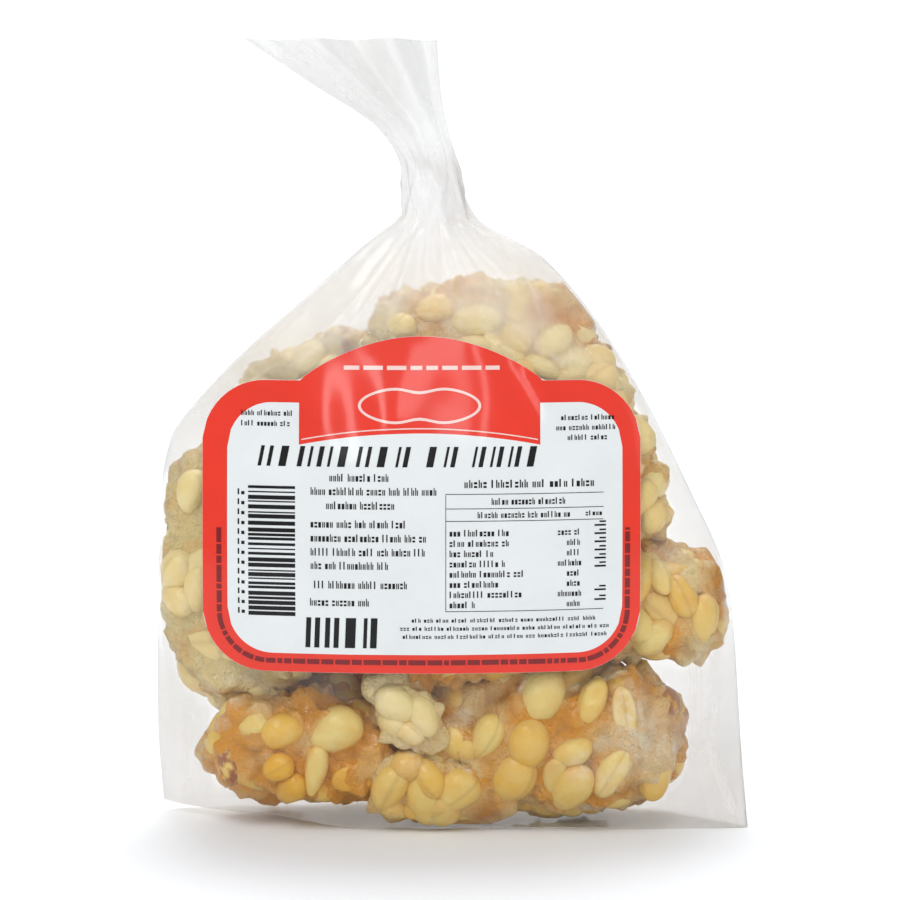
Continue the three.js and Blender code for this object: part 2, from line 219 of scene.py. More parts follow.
# Lines of small print, above the code of bars and beside it, at the table's head, and at the foot: x from
# and to, height, height of a letter and its width.
LETTER_WIDTH = 0.85
CORNER_LINES = (
    (-51.2, -38.0, 103.4, 1.3, LETTER_WIDTH), (-51.2, -38.0, 100.9, 1.3, LETTER_WIDTH),
    (27, 40, 102.3, 1.3, LETTER_WIDTH), (25.8, 41, 99.9, 1.3, LETTER_WIDTH),
    (28.6, 38.6, 97.5, 1.3, LETTER_WIDTH))
MIDDLE_LINES = tuple((left, right, low, 1.85, 0.95) for left, right, low in (
    (-29.4, -13.8, 87.8), (-34, -3, 84.5), (-30.2, -12.8, 81.1), (-34, -10.8, 76.6), (-34, -6, 73.2),
    (-34, -5.6, 69.8), (-34, -14.8, 66.5), (-33.2, -8.8, 61.8), (-34.2, -19.8, 57.5)))
TABLE_HEAD_LINES = (
    (3.4, 36.4, 86.3, 1.9, 1.15), (10, 28.5, 82.2, 1.6, LETTER_WIDTH), (6.6, 29.8, 79.0, 1.5, LETTER_WIDTH),
    (33, 37.4, 79.2, 1.2, LETTER_WIDTH))
FOOT_LINES = ((-9.4, 36.6, 53.6, 1.0, 0.8), (-12.2, 39.2, 51.6, 1.0, 0.8), (-11.6, 38.6, 49.6, 1.0, 0.8))

# The code of bars, which lie flat one above another, with two columns of small marks on its left.
CODE_LEFT, CODE_RIGHT, CODE_BOTTOM, CODE_TOP, CODE_UNIT = -49.4, -37.8, 54.8, 86.5, 0.33
CODE_MARKS, MARK_PITCH, MARK_BOTTOM = 13, 2.42, 55.2

# The table: its left and right, the heights of its rules, the lengths of its rows' names, and where the
# upright marks on its right start.
TABLE_LEFT, TABLE_RIGHT, TABLE_RULES, RULE_THICK = -1.2, 37.4, (84.7, 81.2, 78.2, 56.2), 0.16
ROW_LENGTHS, FIRST_ROW, ROW_PITCH = (14.2, 14.8, 11, 14, 18, 13, 17.6, 6.8), 74.6, 2.5
SIDE_MARKS = (58.4, 60.8, 66.6, 68.6, 70.6, 72.6, 74.6, 76.6)

# The lights: name, place, target, width, height and watts.
LIGHTS = (
    ("key_box", (-0.55, -0.8, 1.25), (0, 0, 0.08), 0.7, 0.7, 8.6),
    ("fill_box", (1.0, -0.8, 0.7), (0, 0, 0.08), 0.8, 0.8, 2.7),
    ("top_box", (0.0, 0.60, 1.3), (0, 0, 0.03), 0.9, 0.7, 8),
    ("backdrop_box", (0.0, 1.0, 1.9), (0, 2.2, 0.5), 1.6, 1.6, 27),
    ("left_strip", (-0.25, -1.10, 0.55), (0, 0, 0.1), 0.06, 0.34, 0.5),
    ("middle_strip", (0.02, -1.12, 0.62), (0, 0, 0.1), 0.17, 0.34, 0.85),
    ("right_strip", (0.20, -1.12, 0.58), (0, 0, 0.1), 0.05, 0.34, 0.3),
)
WORLD_STRENGTH = 0.43
CAMERA_TARGET = (-0.0001, 0.0, 0.0933)
SENSOR_WIDTH = 36.0

# The sweep, in metres: its half width, where it starts in front, where it bends up behind, and its top.
SWEEP_HALF_WIDTH, SWEEP_FRONT, SWEEP_BEND, SWEEP_RADIUS, SWEEP_TOP = 3.5, -2.0, 1.4, 0.9, 3.2


# Settings that a user may change.


def colour_setting(name, description, default):
    """A colour that a user may change."""
    return bpy.props.FloatVectorProperty(
        name=name, description=description, default=default, min=0.0, max=1.0, subtype="COLOR")


class FudgeBagFilm(bpy.types.PropertyGroup):
    """The bag's film."""

    thickness: bpy.props.FloatProperty(
        name="Thickness", description="How thick the film is", default=0.00006, min=0.00002, max=0.0005,
        precision=5, unit="LENGTH")
    columns: bpy.props.IntProperty(
        name="Columns", description="Grid columns across each of the two sheets", default=120, min=40,
        max=150)
    rows: bpy.props.IntProperty(
        name="Rows", description="Grid rows up the bag", default=152, min=60, max=180)
    fold_height: bpy.props.FloatProperty(
        name="Fold Height", description="How far the creases from the neck stand out", default=0.0013,
        min=0.0, max=0.003, precision=4, unit="LENGTH")
    tint: colour_setting("Tint", "Colour that light takes on through the film", (0.986, 0.984, 0.980))
    milkiness: bpy.props.FloatProperty(
        name="Milkiness", description="How white the film looks where it stands off the fudge", default=0.30,
        min=0.0, max=1.0, subtype="FACTOR")


class FudgeBagFudge(bpy.types.PropertyGroup):
    """The blocks of fudge and their peanuts."""

    nut_pitch: bpy.props.FloatProperty(
        name="Peanut Pitch", description="Distance between neighbouring peanuts", default=0.0074, min=0.006,
        max=0.02, precision=4, unit="LENGTH")
    face_steps: bpy.props.IntProperty(
        name="Face Steps", description="Grid steps along each of the six faces of a block", default=46,
        min=12, max=56)
    amber: colour_setting("Amber", "Colour of the clear toffee", (0.880, 0.370, 0.009))
    cream: colour_setting("Cream", "Colour of the sugary fudge", (0.930, 0.745, 0.360))
    pale_nut: colour_setting("Pale Peanut", "Colour of the palest peanuts", (0.870, 0.700, 0.250))
    golden_nut: colour_setting("Golden Peanut", "Colour of the most roasted peanuts", (0.860, 0.470, 0.022))
    skin: colour_setting("Peanut Skin", "Colour of the red skin left on some peanuts", (0.300, 0.060, 0.035))


class FudgeBagLabel(bpy.types.PropertyGroup):
    """The label and its print."""

    thickness: bpy.props.FloatProperty(
        name="Thickness", description="How thick the label is", default=0.0004, min=0.0001, max=0.001,
        precision=4, unit="LENGTH")
    paper: colour_setting("Paper", "Colour of the bare paper", (0.76, 0.79, 0.795))
    red: colour_setting("Red Ink", "Colour of the border and the heading field", (0.775, 0.036, 0.017))
    black: colour_setting("Black Ink", "Colour of the small print", (0.009, 0.009, 0.010))


class FudgeBagStage(bpy.types.PropertyGroup):
    """The floor, the lights and the camera."""

    floor: colour_setting("Floor", "Colour of the floor and the backdrop", (0.842, 0.866, 0.896))
    distance: bpy.props.FloatProperty(
        name="Camera Distance", description="From the camera to the bag", default=0.70, min=0.2, max=5.0,
        unit="LENGTH")
    elevation: bpy.props.FloatProperty(
        name="Camera Elevation", description="Angle above the horizon", default=math.radians(6.0), min=0.0,
        max=1.5, subtype="ANGLE")
    view_width: bpy.props.FloatProperty(
        name="View Width", description="Width that the picture shows at the bag", default=0.225, min=0.05,
        max=2.0, unit="LENGTH")


# Curves and noise.


def smoothstep(low, high, value):
    """0 below low, 1 above high, and 3t^2 - 2t^3 between them."""
    t = np.clip((value - low) / (high - low), 0.0, 1.0)
    return t * t * (3.0 - 2.0 * t)


def curve_through(points):
    """A curve through (at, value) points that never overshoots: a cubic in each span, with harmonic mean
    slopes."""
    at, value = np.array(points, float).T
    width = np.diff(at)
    span_slope = np.diff(value) / width
    before = np.concatenate((span_slope[:1], span_slope))
    after = np.concatenate((span_slope, span_slope[-1:]))
    product = before * after
    slope = np.where(product > 0, 2 * product / np.where(before + after == 0, 1, before + after), 0.0)

    def curve(where):
        i = np.clip(np.searchsorted(at, where, side="right") - 1, 0, len(width) - 1)
        t = np.clip((where - at[i]) / width[i], 0.0, 1.0)
        start = value[i] * (1 + 2 * t) * (1 - t) ** 2 + slope[i] * width[i] * t * (1 - t) ** 2
        return start + value[i + 1] * t * t * (3 - 2 * t) + slope[i + 1] * width[i] * t * t * (t - 1)

    return curve


left_edge, right_edge = curve_through(LEFT_EDGE), curve_through(RIGHT_EDGE)
half_depth, room_depth = curve_through(HALF_DEPTH), curve_through(ROOM_DEPTH)
twist_edge, fan_crease = curve_through(TWIST_EDGE), curve_through(FAN_CREASE)


def waves(points, length, seed, count=14):
    """A smooth random field, mostly from -1 to 1: the sum of sine waves of about that length, in seeded
    directions, over the square root of their number."""
    rng = np.random.default_rng(seed)
    directions = rng.normal(size=(count, points.shape[-1]))
    directions /= np.linalg.norm(directions, axis=1, keepdims=True)
    numbers = 2 * np.pi / (length * rng.uniform(0.7, 1.5, count))
    phases = rng.uniform(0, 2 * np.pi, count)
    return np.sin(points @ (directions * numbers[:, None]).T + phases).sum(axis=-1) / math.sqrt(count)


# The bag's form.


def x_at(across, z):
    """x at a share of the bag's half width, from -1 at its left edge to 1 at its right one."""
    left, right = left_edge(z), right_edge(z)
    return (left + right) / 2 + across * (right - left) / 2


def across_at(x, z):
    """The share of the bag's half width at x: the inverse of x_at."""
    left, right = left_edge(z), right_edge(z)
    return np.clip((2 * x - left - right) / (right - left), -1.0, 1.0)


def middle(across, z):
    """y of the bag's middle surface: the ears bend with the cube of the share, and the fan is a sine
    ruffle."""
    bend = np.clip(1 - z / EAR_BEND_HEIGHT, 0, None) ** 2
    ear = bend * np.abs(across) ** 3 * np.where(across < 0, LEFT_EAR_BACK, -RIGHT_EAR_FORWARD)
    ruffle = smoothstep(NECK_HIGH, MOUTH, z) * np.sin(np.pi * RUFFLE_WAVES * across + RUFFLE_PHASE)
    return ear + RUFFLE_HEIGHT * ruffle


def slack_section(across, z):
    """Half depth of the film where nothing presses on it: a flat-eared section low down and an oval one
    above."""
    to_oval = smoothstep(EARS_END, OVAL_STARTS, z)
    power = EAR_SECTION[0] + (OVAL_SECTION[0] - EAR_SECTION[0]) * to_oval
    root = EAR_SECTION[1] + (OVAL_SECTION[1] - EAR_SECTION[1]) * to_oval
    return half_depth(z) * (1 - np.abs(across) ** power) ** root


def label_span(x):
    """Heights of the label's lower and upper edges at x: circular corners, and a cosine arch along the
    top."""
    off = np.abs(x - LABEL_CENTRE)
    into = np.clip(off - (LABEL_HALF - LABEL_CORNER), 0, LABEL_CORNER)
    cut = LABEL_CORNER - np.sqrt(LABEL_CORNER**2 - into**2)
    arch = (LABEL_TOP - LABEL_SHOULDER) * np.cos(np.pi / 2 * np.clip(off / ARCH_HALF, 0, 1)) ** 0.8
    return LABEL_BOTTOM + cut, LABEL_SHOULDER - cut + arch


def outside_label(x, z):
    """Distance outside the label: from a rounded rectangle, or from the arch on it. 0 or less within."""
    off = np.abs(x - LABEL_CENTRE)
    over_x = off - (LABEL_HALF - LABEL_CORNER)
    mid_height, half_height = (LABEL_BOTTOM + LABEL_SHOULDER) / 2, (LABEL_SHOULDER - LABEL_BOTTOM) / 2
    over_z = np.abs(z - mid_height) - (half_height - LABEL_CORNER)
    box = np.hypot(np.clip(over_x, 0, None), np.clip(over_z, 0, None))
    box = box + np.minimum(0, np.maximum(over_x, over_z)) - LABEL_CORNER
    inside = np.clip(x, LABEL_CENTRE - LABEL_HALF, LABEL_CENTRE + LABEL_HALF)
    above, below = z - label_span(inside)[1], LABEL_BOTTOM + LABEL_CORNER - z
    arch = np.maximum(np.maximum(off - ARCH_HALF, above), below)
    return np.minimum(box, arch)


def label_face(x, z):
    """How far the label's face stands in front of y = 0: two parabolas, dents of random waves that deepen
    towards its top, and a raised crease where the fudge lifts it."""
    lean = np.clip(z - LEAN_START, 0, None)
    plain = LABEL_FRONT - (x - LABEL_CENTRE) ** 2 / (2 * LABEL_BEND) - lean**2 / (2 * LABEL_LEAN)
    points = np.stack((x, z), axis=-1)
    dents = waves(points * (1.0, 0.55), DENT_LENGTH, 31) * (0.35 + 0.65 * smoothstep(88, 104, z))
    beside = (x - CREASE_AT[0]) * CREASE_ACROSS[0] + (z - CREASE_AT[1]) * CREASE_ACROSS[1]
    crease = np.exp(-((beside / CREASE_HALF_WIDTH) ** 2)) * smoothstep(96, 102, z)
    return plain - DENT_DEPTH + DENT_DEPTH * dents + CREASE_HEIGHT * crease


# Meshes and materials.


def make_piece(name, points, faces, material, attributes=None, replaces=()):
    """A mesh object from points in millimetres, with its material, that rides on the bag's body. Its open
    edges are marked sharp."""
    mesh = bpy.data.meshes.new(name)
    corners = faces.tolist() if hasattr(faces, "tolist") else faces
    mesh.from_pydata(np.asarray(points, float) * MM, [], corners)
    mesh.polygons.foreach_set("use_smooth", np.ones(len(mesh.polygons), bool))
    for key, values in (attributes or {}).items():
        mesh.attributes.new(key, "FLOAT", "POINT").data.foreach_set("value", np.asarray(values, np.float32))
    mesh.materials.append(material)
    mesh.update()
    edges = np.zeros(len(mesh.loops), np.int32)
    mesh.loops.foreach_get("edge_index", edges)
    open_edge = np.bincount(edges, minlength=len(mesh.edges)) == 1
    if open_edge.any():
        mesh.attributes.new("sharp_edge", "BOOLEAN", "EDGE").data.foreach_set("value", open_edge)
    piece = bpy.data.objects.new(name, mesh)
    bpy.context.scene.collection.objects.link(piece)
    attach(piece, BODY)
    if replaces:
        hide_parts(*replaces)
    return piece


def grid_faces(rows, columns, around=False):
    """Quads of a grid of points in rows, turned so that the first step along a row crossed with the step to
    the next row points outward. A grid that goes around has its last column joined to its first."""
    i, j = np.meshgrid(np.arange(rows - 1), np.arange(columns if around else columns - 1), indexing="ij")
    after = (j + 1) % columns
    here, above = i * columns, (i + 1) * columns
    return np.stack((here + j, here + after, above + after, above + j), axis=-1).reshape(-1, 4)


class Nodes:
    """Short calls that add the nodes of one material."""

    # The numbers of a Mix node's colour sockets, which share their names with other kinds of socket.
    MIX_FIRST, MIX_SECOND, MIX_RESULT = 6, 7, 2

    def __init__(self, name):
        self.material = bpy.data.materials.new(name)
        self.material.use_nodes = True
        self.tree = self.material.node_tree
        self.tree.nodes.clear()
        self.output = self.add("ShaderNodeOutputMaterial")

    def add(self, kind, inputs=None, **settings):
        """A node of a kind, with its settings. Its inputs are values, or outputs to link them to."""
        node = self.tree.nodes.new(kind)
        for key, value in settings.items():
            setattr(node, key, value)
        for key, value in (inputs or {}).items():
            if isinstance(value, bpy.types.NodeSocket):
                self.tree.links.new(value, node.inputs[key])
            else:
                node.inputs[key].default_value = value
        return node

    def shader(self, kind, inputs, **settings):
        return self.add(kind, inputs, **settings).outputs[0]

    def attribute(self, name):
        return self.add("ShaderNodeAttribute", attribute_name=name).outputs["Fac"]

    def noise(self, scale, detail=3.0, roughness=0.55):
        """Noise from 0 to 1 on Object coordinates, at that many features to the metre."""
        here = self.add("ShaderNodeTexCoord").outputs["Object"]
        inputs = {"Vector": here, "Scale": scale, "Detail": detail, "Roughness": roughness}
        return self.add("ShaderNodeTexNoise", inputs).outputs["Fac"]

    def math(self, operation, first, second, clamp=False):
        node = self.add("ShaderNodeMath", {0: first, 1: second}, operation=operation, use_clamp=clamp)
        return node.outputs[0]

    def times(self, first, second, clamp=False):
        return self.math("MULTIPLY", first, second, clamp)

    def remap(self, value, low, high, to_low=0.0, to_high=1.0):
        """A value's place between low and high, taken to the same place between two others, and no
        further."""
        inputs = {"Value": value, "From Min": low, "From Max": high, "To Min": to_low, "To Max": to_high}
        return self.add("ShaderNodeMapRange", inputs).outputs["Result"]

    def mix(self, factor, first, second):
        inputs = {"Factor": factor, self.MIX_FIRST: first, self.MIX_SECOND: second}
        return self.add("ShaderNodeMix", inputs, data_type="RGBA").outputs[self.MIX_RESULT]

    def bump(self, height, distance, strength, normal=None):
        inputs = {"Height": height, "Distance": distance, "Strength": strength}
        if normal is not None:
            inputs["Normal"] = normal
        return self.add("ShaderNodeBump", inputs).outputs["Normal"]

    def finish(self, shader):
        self.tree.links.new(shader, self.output.inputs["Surface"])
        return self.material


def rgba(colour):
    return (*tuple(colour)[:3], 1.0)


def film_material(film):
    """Clear film: see-through, with a sharp gloss that grows towards grazing angles, and milky where it is
    folded, which is partly a painted highlight. Its tint dims by the shade attribute, part of which is
    painted shade. Only its outer face shows, and the inner one lets everything through."""
    n = Nodes("clear_film")
    crinkle = n.bump(n.noise(300.0, 2.0, 0.5), 0.00015, 0.25)
    wrinkle = n.bump(n.noise(95.0, 2.0, 0.5), 0.0010, 0.3, crinkle)
    # The shade attribute dims the film's tint, and it also carries painted shade and painted highlight.
    tint = n.mix(n.attribute("shade"), rgba(film.tint), DIMMED_FILM)
    clear = n.shader("ShaderNodeBsdfTransparent", {"Color": tint})
    white = n.shader("ShaderNodeBsdfDiffuse", {"Color": MILKY_FILM, "Normal": wrinkle})
    through = n.shader("ShaderNodeBsdfTranslucent", {"Color": MILKY_FILM})
    milk = n.shader("ShaderNodeMixShader", {"Fac": 0.5, 1: white, 2: through})
    streaks = n.remap(n.noise(60.0, 2.0, 0.5), 0.35, 0.75, 0.80, 1.20)
    # Along the creases the veil is a painted highlight.
    veil = n.times(n.times(n.attribute("veil"), streaks), film.milkiness, clamp=True)
    body = n.shader("ShaderNodeMixShader", {"Fac": veil, 1: clear, 2: milk})
    gloss = n.shader("ShaderNodeBsdfGlossy", {"Color": WHITE, "Roughness": 0.16, "Normal": wrinkle})
    shine = n.times(n.shader("ShaderNodeFresnel", {"IOR": 1.4, "Normal": wrinkle}), 0.8)
    outside = n.shader("ShaderNodeMixShader", {"Fac": shine, 1: body, 2: gloss})
    within = n.shader("ShaderNodeBsdfTransparent", {"Color": WHITE})
    behind = n.add("ShaderNodeNewGeometry").outputs["Backfacing"]
    return n.finish(n.shader("ShaderNodeMixShader", {"Fac": behind, 1: outside, 2: within}))


def fudge_material(fudge):
    """Boiled sugar and cream: amber toffee in the hollows and grainy cream on the lumps, with patches of
    white sugar on them, and slightly see-through. The hollows are darker still, as deeper toffee and as
    painted shade. The creamier it is, the duller."""
    n = Nodes("peanut_fudge")
    patches = n.remap(n.noise(95.0, 4.0, 0.6), 0.38, 0.66)
    cream_share = n.math("ADD", n.attribute("cream"), n.remap(patches, 0.0, 1.0, -0.28, 0.28), clamp=True)
    colour = n.mix(cream_share, rgba(fudge.amber), rgba(fudge.cream))
    grains = n.remap(n.noise(1500.0, 2.0, 0.7), 0.56, 0.74)
    colour = n.mix(n.times(grains, n.remap(cream_share, 0.2, 1.0, 0.08, 0.40)), colour, SUGAR_GRAIN)
    blotches = n.remap(n.noise(420.0, 4.0, 0.6), 0.3, 0.6, 0.45, 1.0)
    sugar = n.times(n.attribute("sugar"), blotches, clamp=True)
    colour = n.mix(sugar, colour, THICK_SUGAR)
    pale = n.math("MAXIMUM", sugar, n.remap(cream_share, 0.6, 1.0, 0.0, 0.7))
    # Painted shade with deeper toffee: the hollows between the lumps are darkened, less where the fudge is
    # pale.
    hollow = n.remap(n.attribute("hollow"), 0.45, 1.0, 0.0, 0.46)
    colour = n.mix(n.times(hollow, n.remap(pale, 0.0, 1.0, 1.0, 0.3)), colour, TOFFEE_AND_SHADE_IN_HOLLOWS)
    grain = n.bump(n.noise(1300.0, 3.0, 0.7), 0.0012, 0.8)
    lumps = n.bump(n.noise(380.0, 4.0, 0.65), 0.0038, 0.6, grain)
    return n.finish(n.shader("ShaderNodeBsdfPrincipled", {
        "Base Color": colour, "Roughness": n.remap(cream_share, 0.1, 0.9, 0.14, 0.50), "IOR": 1.42,
        "Normal": lumps, "Subsurface Weight": 0.12, "Subsurface Radius": (1.0, 0.6, 0.25),
        "Subsurface Scale": 0.0016, "Coat Weight": 0.35, "Coat Roughness": 0.08},
        subsurface_method="RANDOM_WALK"))


def peanut_material(fudge):
    """Roasted peanuts: pale to golden by the tone of each, freckled, with a glaze of toffee low on them, a
    dust of sugar in creamy blocks, a dark line at the split, and bits of red skin."""
    n = Nodes("roasted_peanut")
    mottle = n.remap(n.noise(260.0, 4.0, 0.6), 0.3, 0.7, -0.22, 0.22)
    tone = n.math("ADD", n.attribute("tone"), mottle, clamp=True)
    colour = n.mix(tone, rgba(fudge.pale_nut), rgba(fudge.golden_nut))
    drips = n.remap(n.noise(150.0, 3.0, 0.5), 0.5, 0.7, 0.0, 0.45)
    glaze = n.math("ADD", n.times(n.attribute("glaze"), 0.85), drips, clamp=True)
    glazed = n.mix(n.attribute("cream"), AMBER_GLAZE, CREAM_GLAZE)
    colour = n.mix(n.times(glaze, 0.8), colour, glazed)
    colour = n.mix(n.remap(n.attribute("cream"), 0.4, 0.95, 0.0, 0.42), colour, SUGAR_DUST)
    blotches = n.remap(n.noise(420.0, 4.0, 0.6), 0.35, 0.65, 0.1, 0.9)
    colour = n.mix(n.times(n.attribute("sugar"), blotches, clamp=True), colour, SUGARED_NUT)
    colour = n.mix(n.remap(n.attribute("split"), 0.45, 1.0, 0.0, 0.22), colour, SPLIT_LINE)
    skin_edge = n.remap(n.noise(210.0, 3.0, 0.6), 0.40, 0.52)
    colour = n.mix(n.times(n.attribute("skin"), skin_edge), colour, rgba(fudge.skin))
    uneven = n.bump(n.noise(320.0, 3.0, 0.6), 0.0009, 0.35)
    fine = n.bump(n.noise(1100.0, 3.0, 0.6), 0.0004, 0.6, uneven)
    return n.finish(n.shader("ShaderNodeBsdfPrincipled", {
        "Base Color": colour, "Roughness": n.remap(mottle, -0.2, 0.2, 0.30, 0.46), "IOR": 1.42,
        "Normal": fine, "Subsurface Weight": 0.10, "Subsurface Radius": (1.0, 0.65, 0.3),
        "Subsurface Scale": 0.0014, "Coat Weight": 0.30, "Coat Roughness": 0.13},
        subsurface_method="RANDOM_WALK"))


def print_material(name, colour, mottle=0.03, coat=0.55):
    """Glossy coated paper or the ink on it, with a faint unevenness of colour and of gloss."""
    n = Nodes(name)
    cloud = n.remap(n.noise(70.0, 3.0, 0.5), 0.3, 0.7, 1.0 - mottle, 1.0 + mottle)
    tone = n.shader("ShaderNodeVectorMath", {0: rgba(colour)[:3], "Scale": cloud}, operation="SCALE")
    fibre = n.bump(n.noise(600.0, 3.0, 0.6), 0.0002, 0.25)
    return n.finish(n.shader("ShaderNodeBsdfPrincipled", {
        "Base Color": tone, "Roughness": n.remap(n.noise(300.0), 0.3, 0.7, 0.30, 0.40), "IOR": 1.4,
        "Normal": fibre, "Specular IOR Level": 0.25, "Coat Weight": coat, "Coat Roughness": 0.09}))


# The fudge and its peanuts.


def block_axes(block):
    """Centre, half sizes and the three axes of a block, rolled about Y. Its own surface is smaller than its
    full size, by what its peanuts stand out or by a share of its least half size."""
    angle = math.radians(BLOCKS[block].roll)
    cos, sin = math.cos(angle), math.sin(angle)
    axes = np.array(((cos, 0, sin), (0, 1, 0), (-sin, 0, cos)))
    half = np.array(BLOCKS[block].half, float)
    return np.array(BLOCKS[block].centre, float), half - min(NUTS_STAND_OUT, 0.3 * half.min()), axes


def block_radius(directions, half):
    """Distance from the centre to a superellipsoid: one over the root of the summed powers of each share."""
    return (np.abs(directions / half) ** ROUNDNESS).sum(axis=-1) ** (-1 / ROUNDNESS)


def block_normal(local, half):
    """Outward normals of a superellipsoid: the gradient of its summed powers."""
    normal = np.sign(local) * np.abs(local / half) ** (ROUNDNESS - 1) / half
    return normal / np.linalg.norm(normal, axis=-1, keepdims=True)


def spiral_directions(count):
    """Directions spread evenly over a sphere: a golden-angle spiral from pole to pole."""
    i = np.arange(count)
    height = 1 - 2 * (i + 0.5) / count
    angle = i * np.pi * (3 - math.sqrt(5))
    ring = np.sqrt(1 - height**2)
    return np.stack((ring * np.cos(angle), ring * np.sin(angle), height), axis=-1)


def nut_frames(block, points, normals, along, radii, sink, tone, skin, bare):
    """Kernels as arrays. Each lies along a direction made square to its normal, and is sunk by a share of
    its half thickness. Those in a creamy block are paler."""
    cream = np.full(len(points), BLOCKS[block].cream)
    long_axis = along - (along * normals).sum(axis=1, keepdims=True) * normals
    long_axis /= np.linalg.norm(long_axis, axis=1, keepdims=True)
    wide_axis = np.cross(normals, long_axis)
    centres = points - normals * (radii[:, 2] * sink)[:, None]
    return {"centre": centres, "axes": np.stack((long_axis, wide_axis, normals), axis=1), "radii": radii,
            "tone": tone * (1 - 0.4 * cream), "skin": skin, "cream": cream, "bare": bare,
            "top": radii[:, 2] * (1 - sink)}


def scattered_nuts(block, pitch, seed):
    """Peanuts over a block: one at each direction of a jittered spiral, on its surface, lying any way
    round. Their number is the block's area, by a mean of powers of its half sizes, over the squared
    pitch."""
    centre, half, axes = block_axes(block)
    a, b, c = half**1.6
    area = 4 * np.pi * ((a * b + b * c + c * a) / 3) ** (1 / 1.6)
    count = int(area / pitch**2)
    rng = np.random.default_rng(seed)
    directions = spiral_directions(count) + rng.normal(0, 0.5 / math.sqrt(count), (count, 3))
    directions /= np.linalg.norm(directions, axis=1, keepdims=True)
    local = directions * block_radius(directions, half)[:, None]
    length = rng.uniform(*NUT_HALF_LENGTH, count)
    width = length * rng.uniform(*NUT_WIDTH, count)
    radii = np.stack((length, width, width * rng.uniform(*NUT_THICKNESS, count)), axis=1)
    bare = rng.random(count) < BARE_SHARE
    sink = np.where(bare, rng.uniform(*BARE_SINK, count), rng.uniform(*COVERED_SINK, count))
    tone = rng.beta(1.0, 1.1, count)
    skin = np.where(rng.random(count) < SKIN_SHARE, 0.8, 0.0)
    points, normals = centre + local @ axes, block_normal(local, half) @ axes
    along = rng.normal(size=(count, 3))
    return nut_frames(block, points, normals, along, radii, sink, tone, skin, bare)


def front_of_blocks(x, z):
    """The block that reaches farthest forward at a point seen from the front, and how far."""
    best, name = -np.inf, None
    for block in BLOCKS:
        centre, half, axes = block_axes(block)
        across, _, up = axes @ np.array((x - centre[0], 0.0, z - centre[2]))
        left = 1 - abs(across / half[0]) ** ROUNDNESS - abs(up / half[2]) ** ROUNDNESS
        reach = half[1] * max(left, 0) ** (1 / ROUNDNESS) - centre[1] if left > 0 else -np.inf
        if reach > best:
            best, name = reach, block
    return name, best


def chosen_nuts(block):
    """The front peanuts that sit on this block, in the same arrays as the scattered ones, or None. Each is
    turned part of the way to the front."""
    centre, half, axes = block_axes(block)
    rows = []
    for x, z, length, width, lean, tone, skin in FRONT_NUTS:
        name, reach = front_of_blocks(x, z)
        if name == block:
            rows.append((x, -reach, z, length / 2, width / 2, math.radians(lean), tone, skin))
    if not rows:
        return None
    data = np.array(rows)
    points, (length, width, lean, tone, skin) = data[:, :3], data[:, 3:].T
    along = np.stack((np.cos(lean), np.zeros(len(data)), np.sin(lean)), axis=1)
    radii = np.stack((length, width, width * FRONT_THICKNESS), axis=1)
    normals = block_normal((points - centre) @ axes.T, half) @ axes + (0, -1.2, 0)
    normals /= np.linalg.norm(normals, axis=1, keepdims=True)
    sink, bare = np.full(len(data), FRONT_SINK), np.ones(len(data), bool)
    return nut_frames(block, points, normals, along, radii, sink, tone, skin, bare)


def room(x, z, front):
    """How far fudge may stand from the middle surface: a steep-edged section, and less behind the label."""
    across = across_at(x, z)
    space = room_depth(z) * np.sqrt(1 - np.abs(across) ** 9 * 0.999)
    behind = label_face(x, z) - LABEL_GAP - 1.1 + middle(across, z)
    behind = behind + LABEL_SLOPE * np.clip(outside_label(x, z) - LABEL_MARGIN, 0, None)
    return np.where(front, np.minimum(space, np.maximum(behind, 2.0)), space)


def press_in(points, spare, power):
    """Points pushed back inside the film, to a spare distance from it: y bends over to its limit by a soft
    clip of that power, and x and z stop short of the edges and the floor."""
    x, y, z = points.T.copy()
    z = np.maximum(z, FLOOR_GAP + LEFT_RAISE * (1 - smoothstep(RAISE_TO, RAISE_FROM, x)))
    across = np.clip(across_at(x, z), -EDGE_SHARE, EDGE_SHARE)
    x = x_at(across, z)
    off = y - middle(across, z)
    limit = room(x, z, off < 0) - spare
    off = off / (1 + np.abs(off / limit) ** power) ** (1 / power)
    return np.stack((x, middle(across, z) + off, z), axis=1)


@functools.lru_cache
def sphere_grid(steps):
    """Directions over a sphere and their quads: the grid of each face of a cube, spaced by the tangent and
    pushed out to the sphere, with the points that two faces share made one."""
    t = np.tan(np.linspace(-np.pi / 4, np.pi / 4, steps + 1))
    u, v = np.meshgrid(t, t, indexing="ij")
    one = np.ones_like(u)
    sides = [(one, u, v), (-one, -u, v), (-u, one, v), (u, -one, v), (u, v, one), (-u, v, -one)]
    points = np.concatenate([np.stack(side, axis=-1).reshape(-1, 3) for side in sides])
    points /= np.linalg.norm(points, axis=1, keepdims=True)
    _, first, same = np.unique(np.round(points, 6), axis=0, return_index=True, return_inverse=True)
    quads = grid_faces(steps + 1, steps + 1)
    faces = np.concatenate([quads + side * (steps + 1) ** 2 for side in range(6)])
    points, faces = points[first], same.reshape(-1)[faces]
    corners = points[faces]
    turned = np.einsum("ij,ij->i", np.cross(corners[:, 1] - corners[:, 0], corners[:, 2] - corners[:, 0]),
                       corners.mean(axis=1)) < 0
    faces[turned] = faces[turned][:, ::-1]
    return points, faces


def sugar_at(points):
    """How much white sugar lies at each point of the front: a round spot for each place that shows it."""
    x, y, z = points.T
    spots = np.zeros(len(points))
    for at_x, at_z, size, strength in SUGAR:
        spots += strength * np.exp(-((x - at_x) ** 2 + (z - at_z) ** 2) / size**2)
    return np.clip(spots * smoothstep(0, -8, y), 0, 1)


